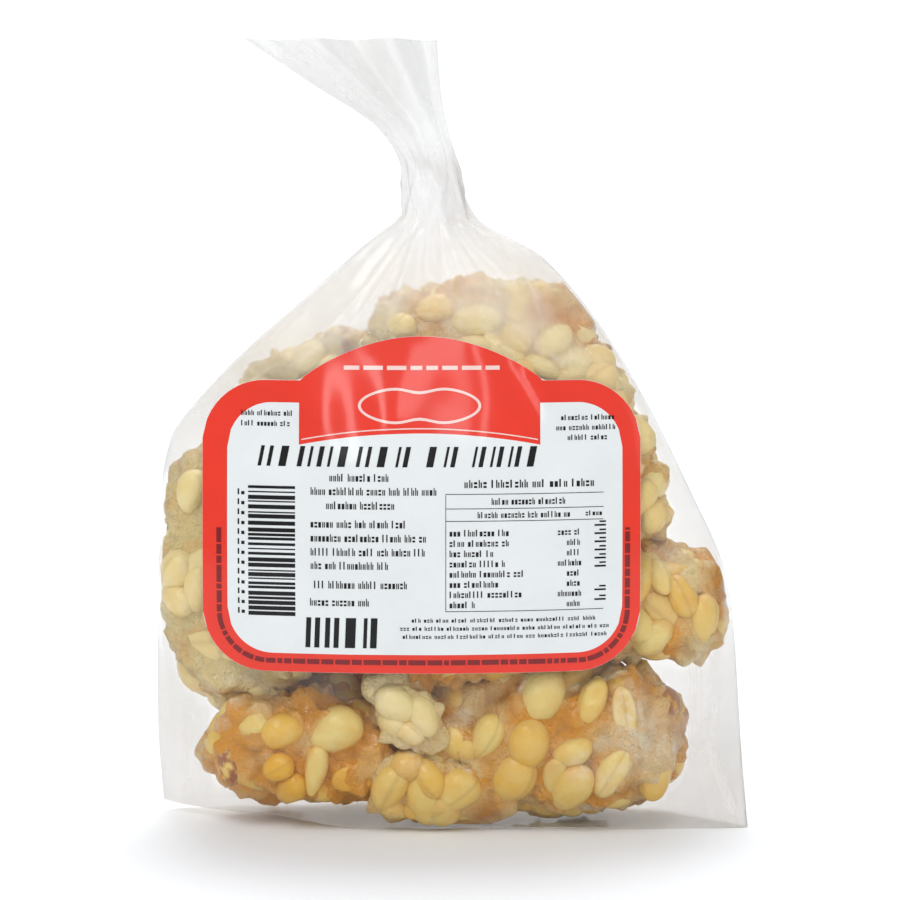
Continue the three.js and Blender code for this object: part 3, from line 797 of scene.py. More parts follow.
def block_surface(block, nuts, steps, seed):
    """A block: a superellipsoid with waves on it, that rises over each peanut as a dome with a soft skirt
    round it. The dome is the root of one less the squared distance, and the skirt dies away by an
    exponential. Over a covered peanut it swells by a cosine instead."""
    centre, half, axes = block_axes(block)
    directions, faces = sphere_grid(steps)
    local = directions * block_radius(directions, half)[:, None]
    outward = block_normal(local, half) @ axes
    points = centre + local @ axes
    points = points + outward * (1.7 * waves(points, 17.0, seed))[:, None]
    broad, narrow = waves(points, 8.0, seed + 4), waves(points, 4.5, seed + 5)
    lift = np.zeros(len(points))
    kernels = zip(nuts["centre"], nuts["axes"], nuts["radii"], nuts["top"], nuts["bare"])
    for nut_centre, nut_axes, radii, top, bare in kernels:
        along, across, through = (nut_axes @ (points - nut_centre).T) / radii[:, None]
        ring = np.hypot(along, across)
        if bare:
            dome = np.sqrt(np.clip(1 - ring**2, 0, 1))
            skirt = np.exp(-np.clip(ring - 0.9, 0, None) * radii[1] / 1.5)
            height = top * dome * (0.38 + 0.42 * broad) + skirt * (1.55 + 0.8 * narrow)
        else:
            height = min(top + 0.6, SWELL_MOST) * (0.5 + 0.5 * np.cos(np.pi * np.clip(ring / 1.3, 0, 1)))
        lift = np.maximum(lift, smoothstep(-2.2, -0.9, through) * height)
    grain = 0.34 * waves(points, 4.2, seed + 1, 20) + 0.18 * waves(points, 2.1, seed + 2, 24)
    # How deep a point lies between the lumps; the material darkens it as deeper toffee and painted shade.
    hollow = np.clip(1 - lift / 1.1 + 0.25 * narrow, 0, 1)
    cream = BLOCKS[block].cream + 0.30 * waves(points, 15.0, seed + 3)
    cream = cream + 0.20 * np.clip(lift / 3.0, 0, 1) - 0.1
    points = points + outward * (lift + grain - 0.4)[:, None]
    sugar = np.maximum(sugar_at(points), 0.7 * smoothstep(0.9, 1.5, waves(points, 13.0, seed + 6)))
    return points, faces, {"hollow": hollow, "cream": np.clip(cream, 0, 1), "sugar": sugar}


@functools.lru_cache
def kernel(rows, columns):
    """A peanut kernel of unit radii: an oval turned about its long axis, with a small nib at one end and
    the groove of its split along one side. Its rows run from the nib to the other end."""
    theta = np.linspace(0, np.pi, rows + 1)[1:-1, None]
    phi = np.linspace(0, 2 * np.pi, columns, endpoint=False)[None]
    side = np.sin(theta) ** 0.86 * (1 + 0.07 * np.cos(theta))
    turn = (phi - np.pi / 2 + np.pi) % (2 * np.pi) - np.pi
    groove = np.exp(-((turn / 0.22) ** 2))
    radius = side * (1 - 0.035 * groove)
    x = np.cos(theta) * (1 + 0.05 * np.exp(-((theta / 0.5) ** 2))) + 0 * phi
    ring = np.stack((x, radius * np.cos(phi), radius * np.sin(phi)), axis=-1).reshape(-1, 3)
    points = np.concatenate((ring, ((1.09, 0, 0), (-1.0, 0, 0))))
    split = np.concatenate((np.broadcast_to(groove, x.shape).reshape(-1), (0.0, 0.0)))
    quads = grid_faces(rows - 1, columns, around=True)
    j = np.arange(columns)
    after = (j + 1) % columns
    nib, end, last = len(ring), len(ring) + 1, (rows - 2) * columns
    caps = np.concatenate((np.stack((np.full(columns, nib), j, after), -1),
                           np.stack((np.full(columns, end), last + after, last + j), -1)))
    return points, quads[:, ::-1], caps, split


def nut_points(nuts, rows, columns, seed):
    """All the kernels as one array: each unit kernel is spun about its long axis, bent a little, made
    thinner at one end, and set in place. Some are halves, nearly flat on their outer side. With them comes
    how deep in the glaze each point lies, which falls from 1 to 0 along the nut's own thickness."""
    unit, _, _, _ = kernel(rows, columns)
    rng = np.random.default_rng(seed)
    count = len(nuts["tone"])
    spin = rng.uniform(0, 2 * np.pi, count)[:, None]
    bend = rng.uniform(-0.12, 0.12, count)[:, None]
    taper = rng.uniform(-0.22, 0.22, count)[:, None]
    flat = np.where(rng.random(count) < HALVES_SHARE, 0.42, 9.0)[:, None]
    x, y, z = unit.T
    wide = (y * np.cos(spin) - z * np.sin(spin)) * (1 + taper * x) + bend * (x**2 - 0.5)
    thick = (y * np.sin(spin) + z * np.cos(spin)) * (1 + taper * x)
    thick = np.minimum(thick, flat + 0.12 * (thick - flat))
    shape = np.stack((np.broadcast_to(x, wide.shape), wide, thick), axis=-1) * nuts["radii"][:, None, :]
    points = nuts["centre"][:, None, :] + np.einsum("nvk,nkd->nvd", shape, nuts["axes"])
    return points, 1 - smoothstep(-0.05, 0.75, thick + 0.22 * waves(points, 6.0, seed + 9))


def joined_nuts(nuts, rows, columns, seed):
    """One mesh of many kernels: their points, faces and attributes, end to end."""
    _, quads, caps, split = kernel(rows, columns)
    points, glaze = nut_points(nuts, rows, columns, seed)
    count, each = points.shape[:2]
    starts = (np.arange(count) * each)[:, None, None]
    faces = (quads[None] + starts).reshape(-1, 4).tolist() + (caps[None] + starts).reshape(-1, 3).tolist()
    points = points.reshape(-1, 3)
    attributes = {key: np.repeat(nuts[key], each) for key in ("tone", "skin", "cream")}
    attributes.update(split=np.tile(split, count), glaze=glaze.reshape(-1), sugar=sugar_at(points))
    return points, faces, attributes


def together(parts):
    return {key: np.concatenate([part[key] for part in parts]) for key in parts[0]}


def keep(nuts, chosen):
    return {key: values[chosen] for key, values in nuts.items()}


def settle(nuts):
    """Peanuts moved back so that none stands through the film: by how far its tip would pass the limit."""
    reach = np.sqrt(((nuts["axes"][:, :, 1] * nuts["radii"]) ** 2).sum(axis=1))
    x, y, z = nuts["centre"].T
    wide = np.abs(nuts["axes"][:, :, 0] * nuts["radii"]).max(axis=1)
    across = across_at(x, z)
    half = (right_edge(z) - left_edge(z)) / 2
    limit_across = 1 - (wide + 1.0) / half
    x = x_at(np.clip(across, -limit_across, limit_across), z)
    across = across_at(x, z)
    off = y - middle(across, z)
    most = np.maximum(room(x, z, off < 0) - reach, 0)
    off = np.clip(off, -most, most)
    return {**nuts, "centre": np.stack((x, middle(across, z) + off, z), axis=1)}


@functools.lru_cache
def contents(pitch, steps):
    """All the fudge: the surface of each block, and the joined peanuts, pressed into the bag. A scattered
    peanut too near a front one is left out."""
    blocks, scattered, chosen = {}, [], []
    for seed, block in enumerate(BLOCKS):
        nuts = scattered_nuts(block, pitch, 100 + seed)
        front = chosen_nuts(block)
        if front is not None:
            gaps = nuts["centre"][:, None, :] - front["centre"][None]
            clear = (np.linalg.norm(gaps, axis=-1) > 0.72 * front["radii"][None, :, 0] + 2.2).all(axis=1)
            nuts = keep(nuts, clear)
            chosen.append(settle(front))
        nuts = settle(nuts)
        scattered.append(keep(nuts, nuts["bare"]))
        every = nuts if front is None else together([nuts, chosen[-1]])
        points, faces, attributes = block_surface(block, every, steps, 200 + 10 * seed)
        blocks[block] = (press_in(points, 3.1, 14), faces, attributes)
    many = joined_nuts(together(scattered), 8, 12, 5)
    few = joined_nuts(together(chosen), 16, 24, 6)
    points = press_in(np.concatenate((many[0], few[0])), 0.0, 50)
    faces = many[1] + [[corner + len(many[0]) for corner in face] for face in few[1]]
    return blocks, (points, faces, together([many[2], few[2]]))


# The film.


def sheet_grid(rows, columns):
    """Heights of the film's rows, and shares of its half width, closer together near the edges."""
    heights = np.concatenate(((0.0, 0.8, 1.8, 3.0), np.linspace(3.0, MOUTH, rows - 3)[1:]))
    even = np.linspace(-1, 1, columns + 1)
    return heights, 0.65 * even + 0.35 * np.sin(np.pi / 2 * even)


def spread_high(field):
    """Each value becomes the highest of the nine round it."""
    padded = np.pad(field, 1, mode="edge")
    shifted = [padded[i:i + field.shape[0], j:j + field.shape[1]] for i in range(3) for j in range(3)]
    return np.max(shifted, axis=0)


def reach_grid(points, heights, shares, side):
    """How far the fudge stands from the middle surface towards one side, on the film's grid: the farthest
    point that falls in each cell, spread to the cells round it."""
    x, y, z = points.T
    across = across_at(x, z)
    rows = np.clip(np.searchsorted((heights[1:] + heights[:-1]) / 2, z), 0, len(heights) - 1)
    columns = np.clip(np.searchsorted((shares[1:] + shares[:-1]) / 2, across), 0, len(shares) - 1)
    grid = np.full((len(heights), len(shares)), NO_FUDGE)
    np.maximum.at(grid, (rows, columns), -side * (y - middle(across, z)))
    return spread_high(grid)


def folds(x, z, across, side, height):
    """Creases of the loose film, which add up. Each one from the neck is a ridge along a slightly bowed
    line, sharp at its top, that fades in and out along it. Each one near the sides is a low bell-shaped
    ridge."""
    angle = np.arctan2(x - NECK_CENTRE[0], NECK_CENTRE[1] - z)
    away = np.hypot(x - NECK_CENTRE[0], z - NECK_CENTRE[1])
    total = np.zeros_like(x)
    for turn, share, length in FRONT_CREASES if side > 0 else BACK_CREASES:
        bow = turn + 0.05 * np.sin(away / 17.0 + 9 * turn)
        beside = np.abs(angle - bow) * away
        fade = smoothstep(3, 16, away) * (1 - smoothstep(0.55 * length, length, away))
        total += share * fade * np.exp(-beside / (1.3 + 0.022 * away))
    upright = np.zeros_like(x)
    for at, lean, low, high, share in SIDE_CREASES:
        beside = np.abs(x - at - lean * (z - low))
        fade = smoothstep(low - 4, low + 7, z) * (1 - smoothstep(high - 12, high, z))
        upright += share * np.exp(-((beside / SIDE_CREASE_HALF_WIDTH) ** 2)) * fade
    inwards, inwards_late = (np.clip(1 - np.abs(across) ** power, 0, 1) for power in (12, 30))
    return height * (total * inwards + 0.6 * upright * inwards_late)


def beside_twist(x, z):
    """How far right of the twist's leading edge a point lies, square to it. The edge comes down from the
    fan's left, crosses the neck slantwise, and drops towards the bag."""
    return (x - twist_edge(z)) * 0.72


def stretched(start, least, most, held):
    """A sheet stretched like a drumskin: each pass takes every point that isn't held to the mean of its
    neighbours, and back between its least and its most distance."""
    sheet, inner = start.copy(), np.s_[1:-1, 1:-1]
    for _ in range(STRETCH_PASSES):
        mean = (sheet[:-2, 1:-1] + sheet[2:, 1:-1] + sheet[1:-1, :-2] + sheet[1:-1, 2:]) / 4
        sheet[inner] = np.where(held[inner], sheet[inner], np.clip(mean, least[inner], most[inner]))
    return sheet


def film_veil(x, z, points, side, gap, ridge):
    """How milky the film is: more where it stands off the fudge, towards the neck, at the upper left and
    along its creases, where the whiteness is a painted highlight, and most in the neck."""
    veil = 0.02 + 0.30 * smoothstep(1.0, 12.0, gap) + 0.85 * smoothstep(86, 124, z)
    veil = veil + 0.08 * waves(points, 26.0, 51 + side)
    veil = veil + 0.22 * smoothstep(-12, -38, x) * smoothstep(82, 100, z)
    in_neck = 1.0 + 0.12 * waves(points * (1, 0.25, 1), 8.0, 57 + side)
    above = smoothstep(132, NECK_LOW, z)
    # Along the creases the ridge makes the film whiter: a painted highlight.
    return np.clip((veil + 1.3 * ridge) * (1 - above) + above * in_neck, 0.02, 1.8)


def film_shade(x, z, points, side, bare, ridge):
    """How much the film dims what lies behind it: more where no fudge is behind it, and painted shade
    in strips low at the bag's sides; less along its creases, a painted highlight. In the neck it holds
    painted light right of the fan's main crease, and painted shade where the twist laps over itself, with
    the dimming of that double layer."""
    rise = np.where(x > 0, 13.0, 0.0)
    # Painted shade: the film dims more in strips low at the bag's sides.
    strip = smoothstep(56, 68, np.abs(x)) * (1 - smoothstep(40 + rise, 62 + rise, z))
    # The ridge makes the film dim less along its creases: a painted highlight.
    clouds = 1 + 0.12 * waves(points * (1, 0.5, 1), 18.0, 61 + side) - 0.8 * ridge
    shade = (0.36 + 0.18 * bare) * clouds + np.where(x > 0, 0.21, 0.28) * strip
    fan = smoothstep(NECK_HIGH - 4, NECK_HIGH + 8, z)
    neck = 0.45 + 0.05 * waves(points * (1, 0.25, 1), 8.0, 63 + side)
    # Painted light: the fan dims less right of its main crease.
    neck = neck - 0.16 * fan * smoothstep(-1.2, 1.2, x - fan_crease(z))
    if side > 0:
        # Painted shade right of the twist's edge, with the dimming of the double film, and painted light left
        # of it.
        past = beside_twist(x, z)
        crossing = smoothstep(146, 151, z) * (1 - smoothstep(165, 168, z))
        lap = 0.75 * smoothstep(-0.3, 0.5, past) * (0.45 + 0.55 * np.exp(-np.clip(past, 0, None) / 3.5))
        neck = neck + crossing * (lap - 0.15 * smoothstep(0.5, -1.5, past))
    above = smoothstep(132, NECK_LOW, z)
    return np.clip(shade * (1 - above) + above * neck, 0, 1)


def film_sheet(heights, shares, reach, side, fold_height, bare):
    """One sheet's distances from the middle surface, how milky it is and how much it dims what lies behind.
    It is stretched over the fudge, stuck behind the label, and creased and rippled where it hangs loose."""
    across, z = np.meshgrid(shares, heights)
    x = x_at(across, z)
    least = np.maximum(slack_section(across, z), reach + FILM_CLEARANCE)
    most, free = np.full_like(x, np.inf), np.ones_like(x)
    if side > 0:
        outside = outside_label(x, z)
        rise = LABEL_SLOPE * np.clip(outside - LABEL_MARGIN, 0, None)
        most = label_face(x, z) - LABEL_THICK - LABEL_GAP + middle(across, z) + rise
        free = smoothstep(0, 6, outside)
    stuck = free == 0
    edge = np.abs(across) >= 1
    start = np.minimum(np.where(edge, 0, least), most)
    start[0] = FOOT_HALF_DEPTH * (1 - np.abs(shares) ** FOOT_POWER) ** FOOT_ROOT
    held = edge | (z > NECK_LOW) | stuck
    held[0] = held[-1] = True
    sheet = stretched(np.where(stuck, most, start), least, most, held)
    gap = np.where((reach == NO_FUDGE) | (bare > 0.5), BARE_GAP, sheet - reach)
    loose = smoothstep(0.4, 3.0, gap) * free
    points = np.stack((x, z, side * 40 + 0 * x), axis=-1)
    ripple = 0.30 * np.abs(waves(points * (1, 0.6, 1), 11.0, 41 + side))
    ripple = ripple + 0.10 * waves(points, 5.0, 43 + side)
    creases = folds(x, z, across, side, fold_height)
    raised = sheet + loose * (creases + ripple * smoothstep(2, 12, z))
    sheet = np.where((z < NECK_LOW) & ~edge, raised, sheet)
    # How strongly a crease shows, which sets the painted highlight along it in the veil and the shade.
    ridge = np.clip(creases / fold_height, 0, 1.5) * (0.35 * free + 0.65 * loose)
    return sheet, film_veil(x, z, points, side, gap, ridge), film_shade(x, z, points, side, bare, ridge)


def film_points(across, z, side, distance):
    """The film itself: its distance along Y, then the ribs of the gathered neck along the section's normal,
    which are cosines round the section that turn on their way through the neck. In front, the twist laps
    over."""
    angle = np.arccos(np.clip(across, -1, 1)) * side
    gathered = smoothstep(RIBS_START + 6, NECK_LOW, z) * (1 - 0.8 * smoothstep(NECK_HIGH, NECK_HIGH + 18, z))
    turn = 0.8 * smoothstep(NECK_LOW - 6, NECK_HIGH + 6, z)
    rib = np.zeros_like(angle * turn)
    for height, count, speed, phase in NECK_RIBS:
        rib += gathered * height * np.cos(count * angle + speed * turn + phase)
    x = x_at(across, z) + rib * np.cos(angle)
    y = middle(across, z) - side * distance - rib * np.sin(angle)
    over = smoothstep(0.6, -0.6, beside_twist(x, z)) * smoothstep(148, 153, z) * (1 - smoothstep(163, 170, z))
    if side > 0:
        y = y - TWIST_LAP * over * np.clip(np.sin(np.abs(angle)), 0, 1)
    raised = LEFT_RAISE * (1 - smoothstep(RAISE_TO, RAISE_FROM, x)) * np.clip(1 - z / RAISE_FADE, 0, None)
    return np.stack((x, y, z + raised), axis=-1)


def film_surface(film, fudge_points):
    """The whole film: rings of points up the bag, a front half and a back half each, shut along a line
    underneath and open at the mouth."""
    heights, shares = sheet_grid(film.rows, film.columns)
    reaches = {side: reach_grid(fudge_points, heights, shares, side) for side in (1, -1)}
    filled = np.where(np.maximum(reaches[1], reaches[-1]) == NO_FUDGE, 0.0, 1.0)
    bare = spread_high(spread_high(1 - filled))
    across, z = np.meshgrid(shares, heights)
    under = np.array(UNDER_RINGS)[:, None]
    drawn_in = shares * (1 - UNDER_DRAWN_IN * (1 - under))
    halves = []
    for side, reach in reaches.items():
        sheet, *looks = film_sheet(heights, shares, reach, side, film.fold_height / MM, bare)
        floor = film_points(drawn_in, np.zeros_like(drawn_in), side, sheet[0] * under)
        points = np.concatenate((floor, film_points(across, z, side, sheet)))
        looks = [np.concatenate((np.repeat(look[:1], len(under), axis=0), look)) for look in looks]
        halves.append((points, *looks))
    ring, veil, shade = (np.concatenate((front, back[:, -2:0:-1]), axis=1) for front, back in zip(*halves))
    rows, columns = ring.shape[:2]
    last = len(shares) - 1
    j = np.arange(1, last - 1)
    seam = np.stack((j, columns - j, columns - j - 1, j + 1), axis=-1)
    ends = [(0, columns - 1, 1), (last - 1, last + 1, last)]
    faces = grid_faces(rows, columns, around=True).tolist() + seam.tolist() + ends
    return ring.reshape(-1, 3), faces, {"veil": veil.reshape(-1), "shade": shade.reshape(-1)}


# The label and its print.


def label_solid(thickness):
    """The label's sheet: a grid of its face, the same grid set back by its thickness, and the rim between
    them."""
    columns, rows = 108, 66
    x = LABEL_CENTRE + LABEL_HALF * np.sin(np.pi / 2 * np.linspace(-1, 1, columns))
    low, high = label_span(x)
    t = np.linspace(0, 1, rows)[:, None]
    z = low + (high - low) * t
    x = np.broadcast_to(x, z.shape)
    face = label_face(x, z)
    front = np.stack((x, -face, z), axis=-1).reshape(-1, 3)
    back = np.stack((x, -face + thickness, z), axis=-1).reshape(-1, 3)
    quads = grid_faces(rows, columns)
    bottom = np.arange(columns)
    right = np.arange(rows) * columns + columns - 1
    top = np.arange(columns)[::-1] + (rows - 1) * columns
    left = (np.arange(rows) * columns)[::-1]
    loop = np.concatenate((bottom[:-1], right[:-1], top[:-1], left[:-1]))
    after = np.roll(loop, -1)
    offset = len(front)
    rim = np.stack((loop, loop + offset, after + offset, after), axis=-1)
    return np.concatenate((front, back)), np.concatenate((quads, quads[:, ::-1] + offset, rim))


def field(x_low, x_high, low, high, step):
    """A patch of the label's face between two x and between two heights, which may be numbers or functions
    of x."""
    columns = max(2, int(math.ceil((x_high - x_low) / step)) + 1)
    x = np.linspace(x_low, x_high, columns)
    low = low(x) if callable(low) else np.full(columns, float(low))
    high = high(x) if callable(high) else np.full(columns, float(high))
    rows = max(2, int(math.ceil(float((high - low).max()) / (1.6 * step))) + 1)
    z = low + (high - low) * np.linspace(0, 1, rows)[:, None]
    return np.broadcast_to(x, z.shape), z


def slanted(x_low, x_high, low, high, slant=0.0):
    """A bar of the label's face, leaning to the right by a slant for each millimetre of height."""
    x, z = field(x_low, x_high, low, high, BAR_STEP)
    return x + slant * (z - low), z


def upright_bar(x_low, x_high, low, high):
    """A bar cut in short lengths up its height, so that it follows the label's face."""
    rows = max(2, int(math.ceil((high - low) / BAR_STEP)) + 1)
    z = np.linspace(low, high, rows)[:, None]
    x = np.array(((x_low, x_high),))
    return np.broadcast_to(x, (rows, 2)), np.broadcast_to(z, (rows, 2))


def print_mesh(patches, lift):
    """Patches joined to one mesh that stands off the label's face by a lift."""
    points, faces, start = [], [], 0
    for x, z in patches:
        rows, columns = z.shape
        points.append(np.stack((x, -(label_face(x, z) + lift), z), axis=-1).reshape(-1, 3))
        faces.append(grid_faces(rows, columns) + start)
        start += rows * columns
    return np.concatenate(points), np.concatenate(faces)


def words(rng, x_low, x_high, low, height, letter):
    """A line of small print as bars: one or two for each letter, short or tall by the seed, in words of
    three to nine with a space between them, as far as the line goes."""
    bars, at = [], x_low
    while at < x_high - letter:
        for _ in range(rng.integers(3, 10)):
            if at < x_high - 0.5 * letter:
                for left, right, foot, head in LETTERS[rng.integers(len(LETTERS))]:
                    across = at + left * letter, at + right * letter
                    bars.append(slanted(*across, low + foot * height, low + head * height))
            at += letter
        at += 0.7 * letter
    return bars


def panel_cut(x):
    """How far the panel's rounded corners cut into its edges at x: a quarter circle at each end."""
    into = np.clip(np.maximum(PANEL_LEFT + PANEL_CORNER - x, x - PANEL_RIGHT + PANEL_CORNER), 0, PANEL_CORNER)
    return PANEL_CORNER - np.sqrt(PANEL_CORNER**2 - into**2)


def header_edge(x):
    """The lower edge of the heading field: a parabola, highest in its middle."""
    middle_x = (HEADER_LEFT + HEADER_RIGHT) / 2
    return HEADER_BOTTOM + HEADER_RISE * (1 - ((x - middle_x) / (HEADER_RIGHT - middle_x)) ** 2)


def red_patches():
    """The red of the whole label, under the panel."""
    def low(x):
        return label_span(x)[0] + RED_INSET

    def high(x):
        return label_span(x)[1] - RED_INSET

    half = LABEL_HALF - RED_INSET
    return [field(LABEL_CENTRE - half, LABEL_CENTRE + half, low, high, 1.1)]


def panel_patches():
    """The bare paper panel: three fields side by side, the middle one under the heading field."""
    def low(x):
        return PANEL_BOTTOM + panel_cut(x)

    def high(x):
        return PANEL_TOP - panel_cut(x)

    return [
        field(PANEL_LEFT, HEADER_LEFT, low, high, 0.9),
        field(HEADER_LEFT, HEADER_RIGHT, low, header_edge, 1.1),
        field(HEADER_RIGHT, PANEL_RIGHT, low, high, 0.9)]


def bold_bars(rng):
    """Rows of bold bars in pairs, for the heading and the bold line at the foot."""
    bars = []
    for x_low, x_high, count, low, high, slant, boldness in BOLD_ROWS:
        pitch = (x_high - x_low) / count
        for i in range(count):
            for left, right in BAR_PAIRS[rng.integers(len(BAR_PAIRS))]:
                start, thick = x_low + (i + left) * pitch, (right - left) * boldness * pitch
                bars.append(slanted(start, start + thick, low, high, slant))
    return bars


def code_bars(rng):
    """A code of bars, one above another, each one to three units thick and one or two apart. Its marks are
    plain."""
    bars, at = [], CODE_BOTTOM
    while at < CODE_TOP - 0.3:
        thick = CODE_UNIT * rng.integers(1, 4)
        bars.append(field(CODE_LEFT, CODE_RIGHT, at, min(at + thick, CODE_TOP), BAR_STEP))
        at += thick + CODE_UNIT * rng.integers(1, 3)
    for low in MARK_BOTTOM + MARK_PITCH * np.arange(CODE_MARKS):
        bars.append(upright_bar(-52.0, -51.6, low, low + 1.4))
        bars.append(upright_bar(-51.1, -50.3, low, low + 0.8))
    return bars


def table_bars(rng):
    """The table's rules, its heads, its rows of a name and a figure each, and the upright marks on its
    right."""
    bars = [field(TABLE_LEFT, TABLE_RIGHT, rule, rule + RULE_THICK, BAR_STEP) for rule in TABLE_RULES]
    bars.append(upright_bar(TABLE_LEFT, TABLE_LEFT + 0.15, TABLE_RULES[-1], TABLE_RULES[0]))
    for line in TABLE_HEAD_LINES[1:]:
        bars += words(rng, *line)
    for i, long in enumerate(ROW_LENGTHS):
        low = FIRST_ROW - ROW_PITCH * i
        bars += words(rng, -0.2, -0.2 + long, low, 1.6, 0.95)
        bars += words(rng, 28.4 if i % 3 else 26.2, 31.8, low, 1.5, LETTER_WIDTH)
    for low in SIDE_MARKS:
        bars.append(upright_bar(35.2, 38.0, low, low + 0.45))
        bars.append(upright_bar(36.4, 38.0, low + 0.9, low + 1.3))
    return bars


def black_patches():
    """The black print as plain bars: bold rows, small lines, the code of bars and the table."""
    rng = np.random.default_rng(77)
    patches = bold_bars(rng)
    for line in CORNER_LINES + MIDDLE_LINES:
        patches += words(rng, *line)
    patches += code_bars(rng) + words(rng, *TABLE_HEAD_LINES[0]) + table_bars(rng)
    for line in FOOT_LINES:
        patches += words(rng, *line)
    return patches


def border_patches():
    """The line of tiny print in the red border: bars down the left side, round the corners, along the
    bottom and up the right side. The path is two straight sides, two quarter circles and a straight
    bottom."""
    left, right, bottom, top, corner = -57.2, 43.9, 43.2, 76.0, 12.5
    side, turn, flat = top - bottom - corner, corner * math.pi / 2, right - left - 2 * corner

    def place(s, off):
        """The point at a length along the path, and so far inwards from it."""
        reach = corner - off
        if s < side:
            return left + off, bottom + corner + side - s
        if s < side + turn:
            a = (s - side) / corner
            return left + corner - reach * math.cos(a), bottom + corner - reach * math.sin(a)
        if s < side + turn + flat:
            return left + corner + s - side - turn, bottom + off
        if s < side + 2 * turn + flat:
            a = (s - side - turn - flat) / corner
            return right - corner + reach * math.sin(a), bottom + corner - reach * math.cos(a)
        return right - off, bottom + corner + s - side - 2 * turn - flat

    rng = np.random.default_rng(78)
    bars, at, end = [], 0.0, 2 * (side + turn) + flat
    while at < end:
        length = 0.6 * rng.integers(2, 8)
        steps = np.linspace(at, min(at + length, end), 5)
        bar = np.array([[place(s, off) for s in steps] for off in (-0.1, 1.1)])
        bars.append((bar[..., 0], bar[..., 1]))
        at += length + 0.45
    return bars


def pale_patches():
    """What is pale on the red: a thin line along the heading field's lower edge, a row of small bars under
    the arch, and a plain peanut pod outline between them, which is an oval with a waist."""
    def line_low(x):
        return header_edge(x) + 1.0

    def line_high(x):
        return header_edge(x) + 1.3

    patches = [field(HEADER_LEFT + 0.6, HEADER_RIGHT - 0.6, line_low, line_high, 1.1)]
    rng = np.random.default_rng(9)
    at = -26.0
    while at < 11.5:
        length = 0.95 * rng.integers(3, 6)
        patches.append(slanted(at, min(at + length, 12.0), 114.6, 115.6))
        at += length + 1.0
    t = np.linspace(0, 2 * np.pi, 65)
    waist = 5.0 * (1 - 0.30 * np.exp(-((np.cos(t) / 0.30) ** 2)))
    ring_x = np.stack((15.0 * np.cos(t), 14.3 * np.cos(t)))
    ring_z = np.stack((waist * np.sin(t), (waist - 0.7) * np.sin(t)))
    patches.append((-7.5 + ring_x, 106.0 + ring_z))
    return patches


# Operators.


class FUDGEBAG_OT_blocks(bpy.types.Operator):
    """Build the blocks of fudge that fill the bag"""

    bl_idname = "fudge_bag.blocks"
    bl_label = "Fudge Blocks"

    def execute(self, context):
        fudge = context.scene.fudge_bag_fudge
        blocks, _ = contents(fudge.nut_pitch / MM, fudge.face_steps)
        material = fudge_material(fudge)
        for name, (points, faces, attributes) in blocks.items():
            make_piece("fudge_" + name, points, faces, material, attributes)
        return {"FINISHED"}


class FUDGEBAG_OT_peanuts(bpy.types.Operator):
    """Build the peanuts that stand out of the fudge"""

    bl_idname = "fudge_bag.peanuts"
    bl_label = "Peanuts"

    def execute(self, context):
        fudge = context.scene.fudge_bag_fudge
        _, (points, faces, attributes) = contents(fudge.nut_pitch / MM, fudge.face_steps)
        make_piece("peanuts", points, faces, peanut_material(fudge), attributes)
        return {"FINISHED"}


class FUDGEBAG_OT_film(bpy.types.Operator):
    """Build the clear film round the fudge"""

    bl_idname = "fudge_bag.film"
    bl_label = "Film"

    def execute(self, context):
        film, fudge = context.scene.fudge_bag_film, context.scene.fudge_bag_fudge
        blocks, nuts = contents(fudge.nut_pitch / MM, fudge.face_steps)
        inside = np.concatenate([points for points, _, _ in blocks.values()] + [nuts[0]])
        points, faces, attributes = film_surface(film, inside)
        piece = make_piece("film", points, faces, film_material(film), attributes, replaces=("bag",))
        solidify = piece.modifiers.new("thickness", "SOLIDIFY")
        solidify.thickness = film.thickness
        solidify.offset = -1.0
        return {"FINISHED"}


class FUDGEBAG_OT_label(bpy.types.Operator):
    """Build the label's sheet of paper"""

    bl_idname = "fudge_bag.label"
    bl_label = "Label"

    def execute(self, context):
        label = context.scene.fudge_bag_label
        points, faces = label_solid(label.thickness / MM)
        paper = print_material("label_paper", label.paper)
        make_piece("label_paper", points, faces, paper, replaces=("label",))
        return {"FINISHED"}


class FUDGEBAG_OT_print(bpy.types.Operator):
    """Print the label: its red field, its bare panel, and its small print as plain bars"""

    bl_idname = "fudge_bag.print"
    bl_label = "Label Print"

    def execute(self, context):
        label = context.scene.fudge_bag_label
        red, panel = print_material("red_ink", label.red, 0.05), print_material("bare_panel", label.paper)
        black = print_material("black_ink", label.black, 0.15, 0.15)
        dark_red, pale = print_material("dark_red_ink", DARK_RED), print_material("pale_lines", PALE_LINE)
        for name, patches, lift, material, slot_name in (
                ("label_red", red_patches(), 0.05, red, "ink_red"),
                ("label_panel", panel_patches(), 0.10, panel, "label"),
                ("label_small_print", black_patches(), 0.15, black, "ink_black"),
                ("label_border_line", border_patches(), 0.13, dark_red, "ink_red"),
                ("label_pale_lines", pale_patches(), 0.15, pale, "label")):
            points, faces = print_mesh(patches, lift)
            piece = make_piece(name, points, faces, material)
            solidify = piece.modifiers.new("ink", "SOLIDIFY")
            solidify.thickness = 0.03 * MM
            solidify.offset = -1.0
        return {"FINISHED"}


def aim(thing, place, target):
    """Puts a camera or light at a place, looking at a target."""
    thing.location = place
    thing.rotation_euler = (Vector(target) - Vector(place)).to_track_quat("-Z", "Y").to_euler()


def area_light(name, place, target, width, height, power):
    """A soft box: an area light at a place, turned to a target."""
    lamp = bpy.data.lights.new(name, "AREA")
    lamp.shape, lamp.size, lamp.size_y, lamp.energy = "RECTANGLE", width, height, power
    light = bpy.data.objects.new(name, lamp)
    bpy.context.scene.collection.objects.link(light)
    aim(light, place, target)


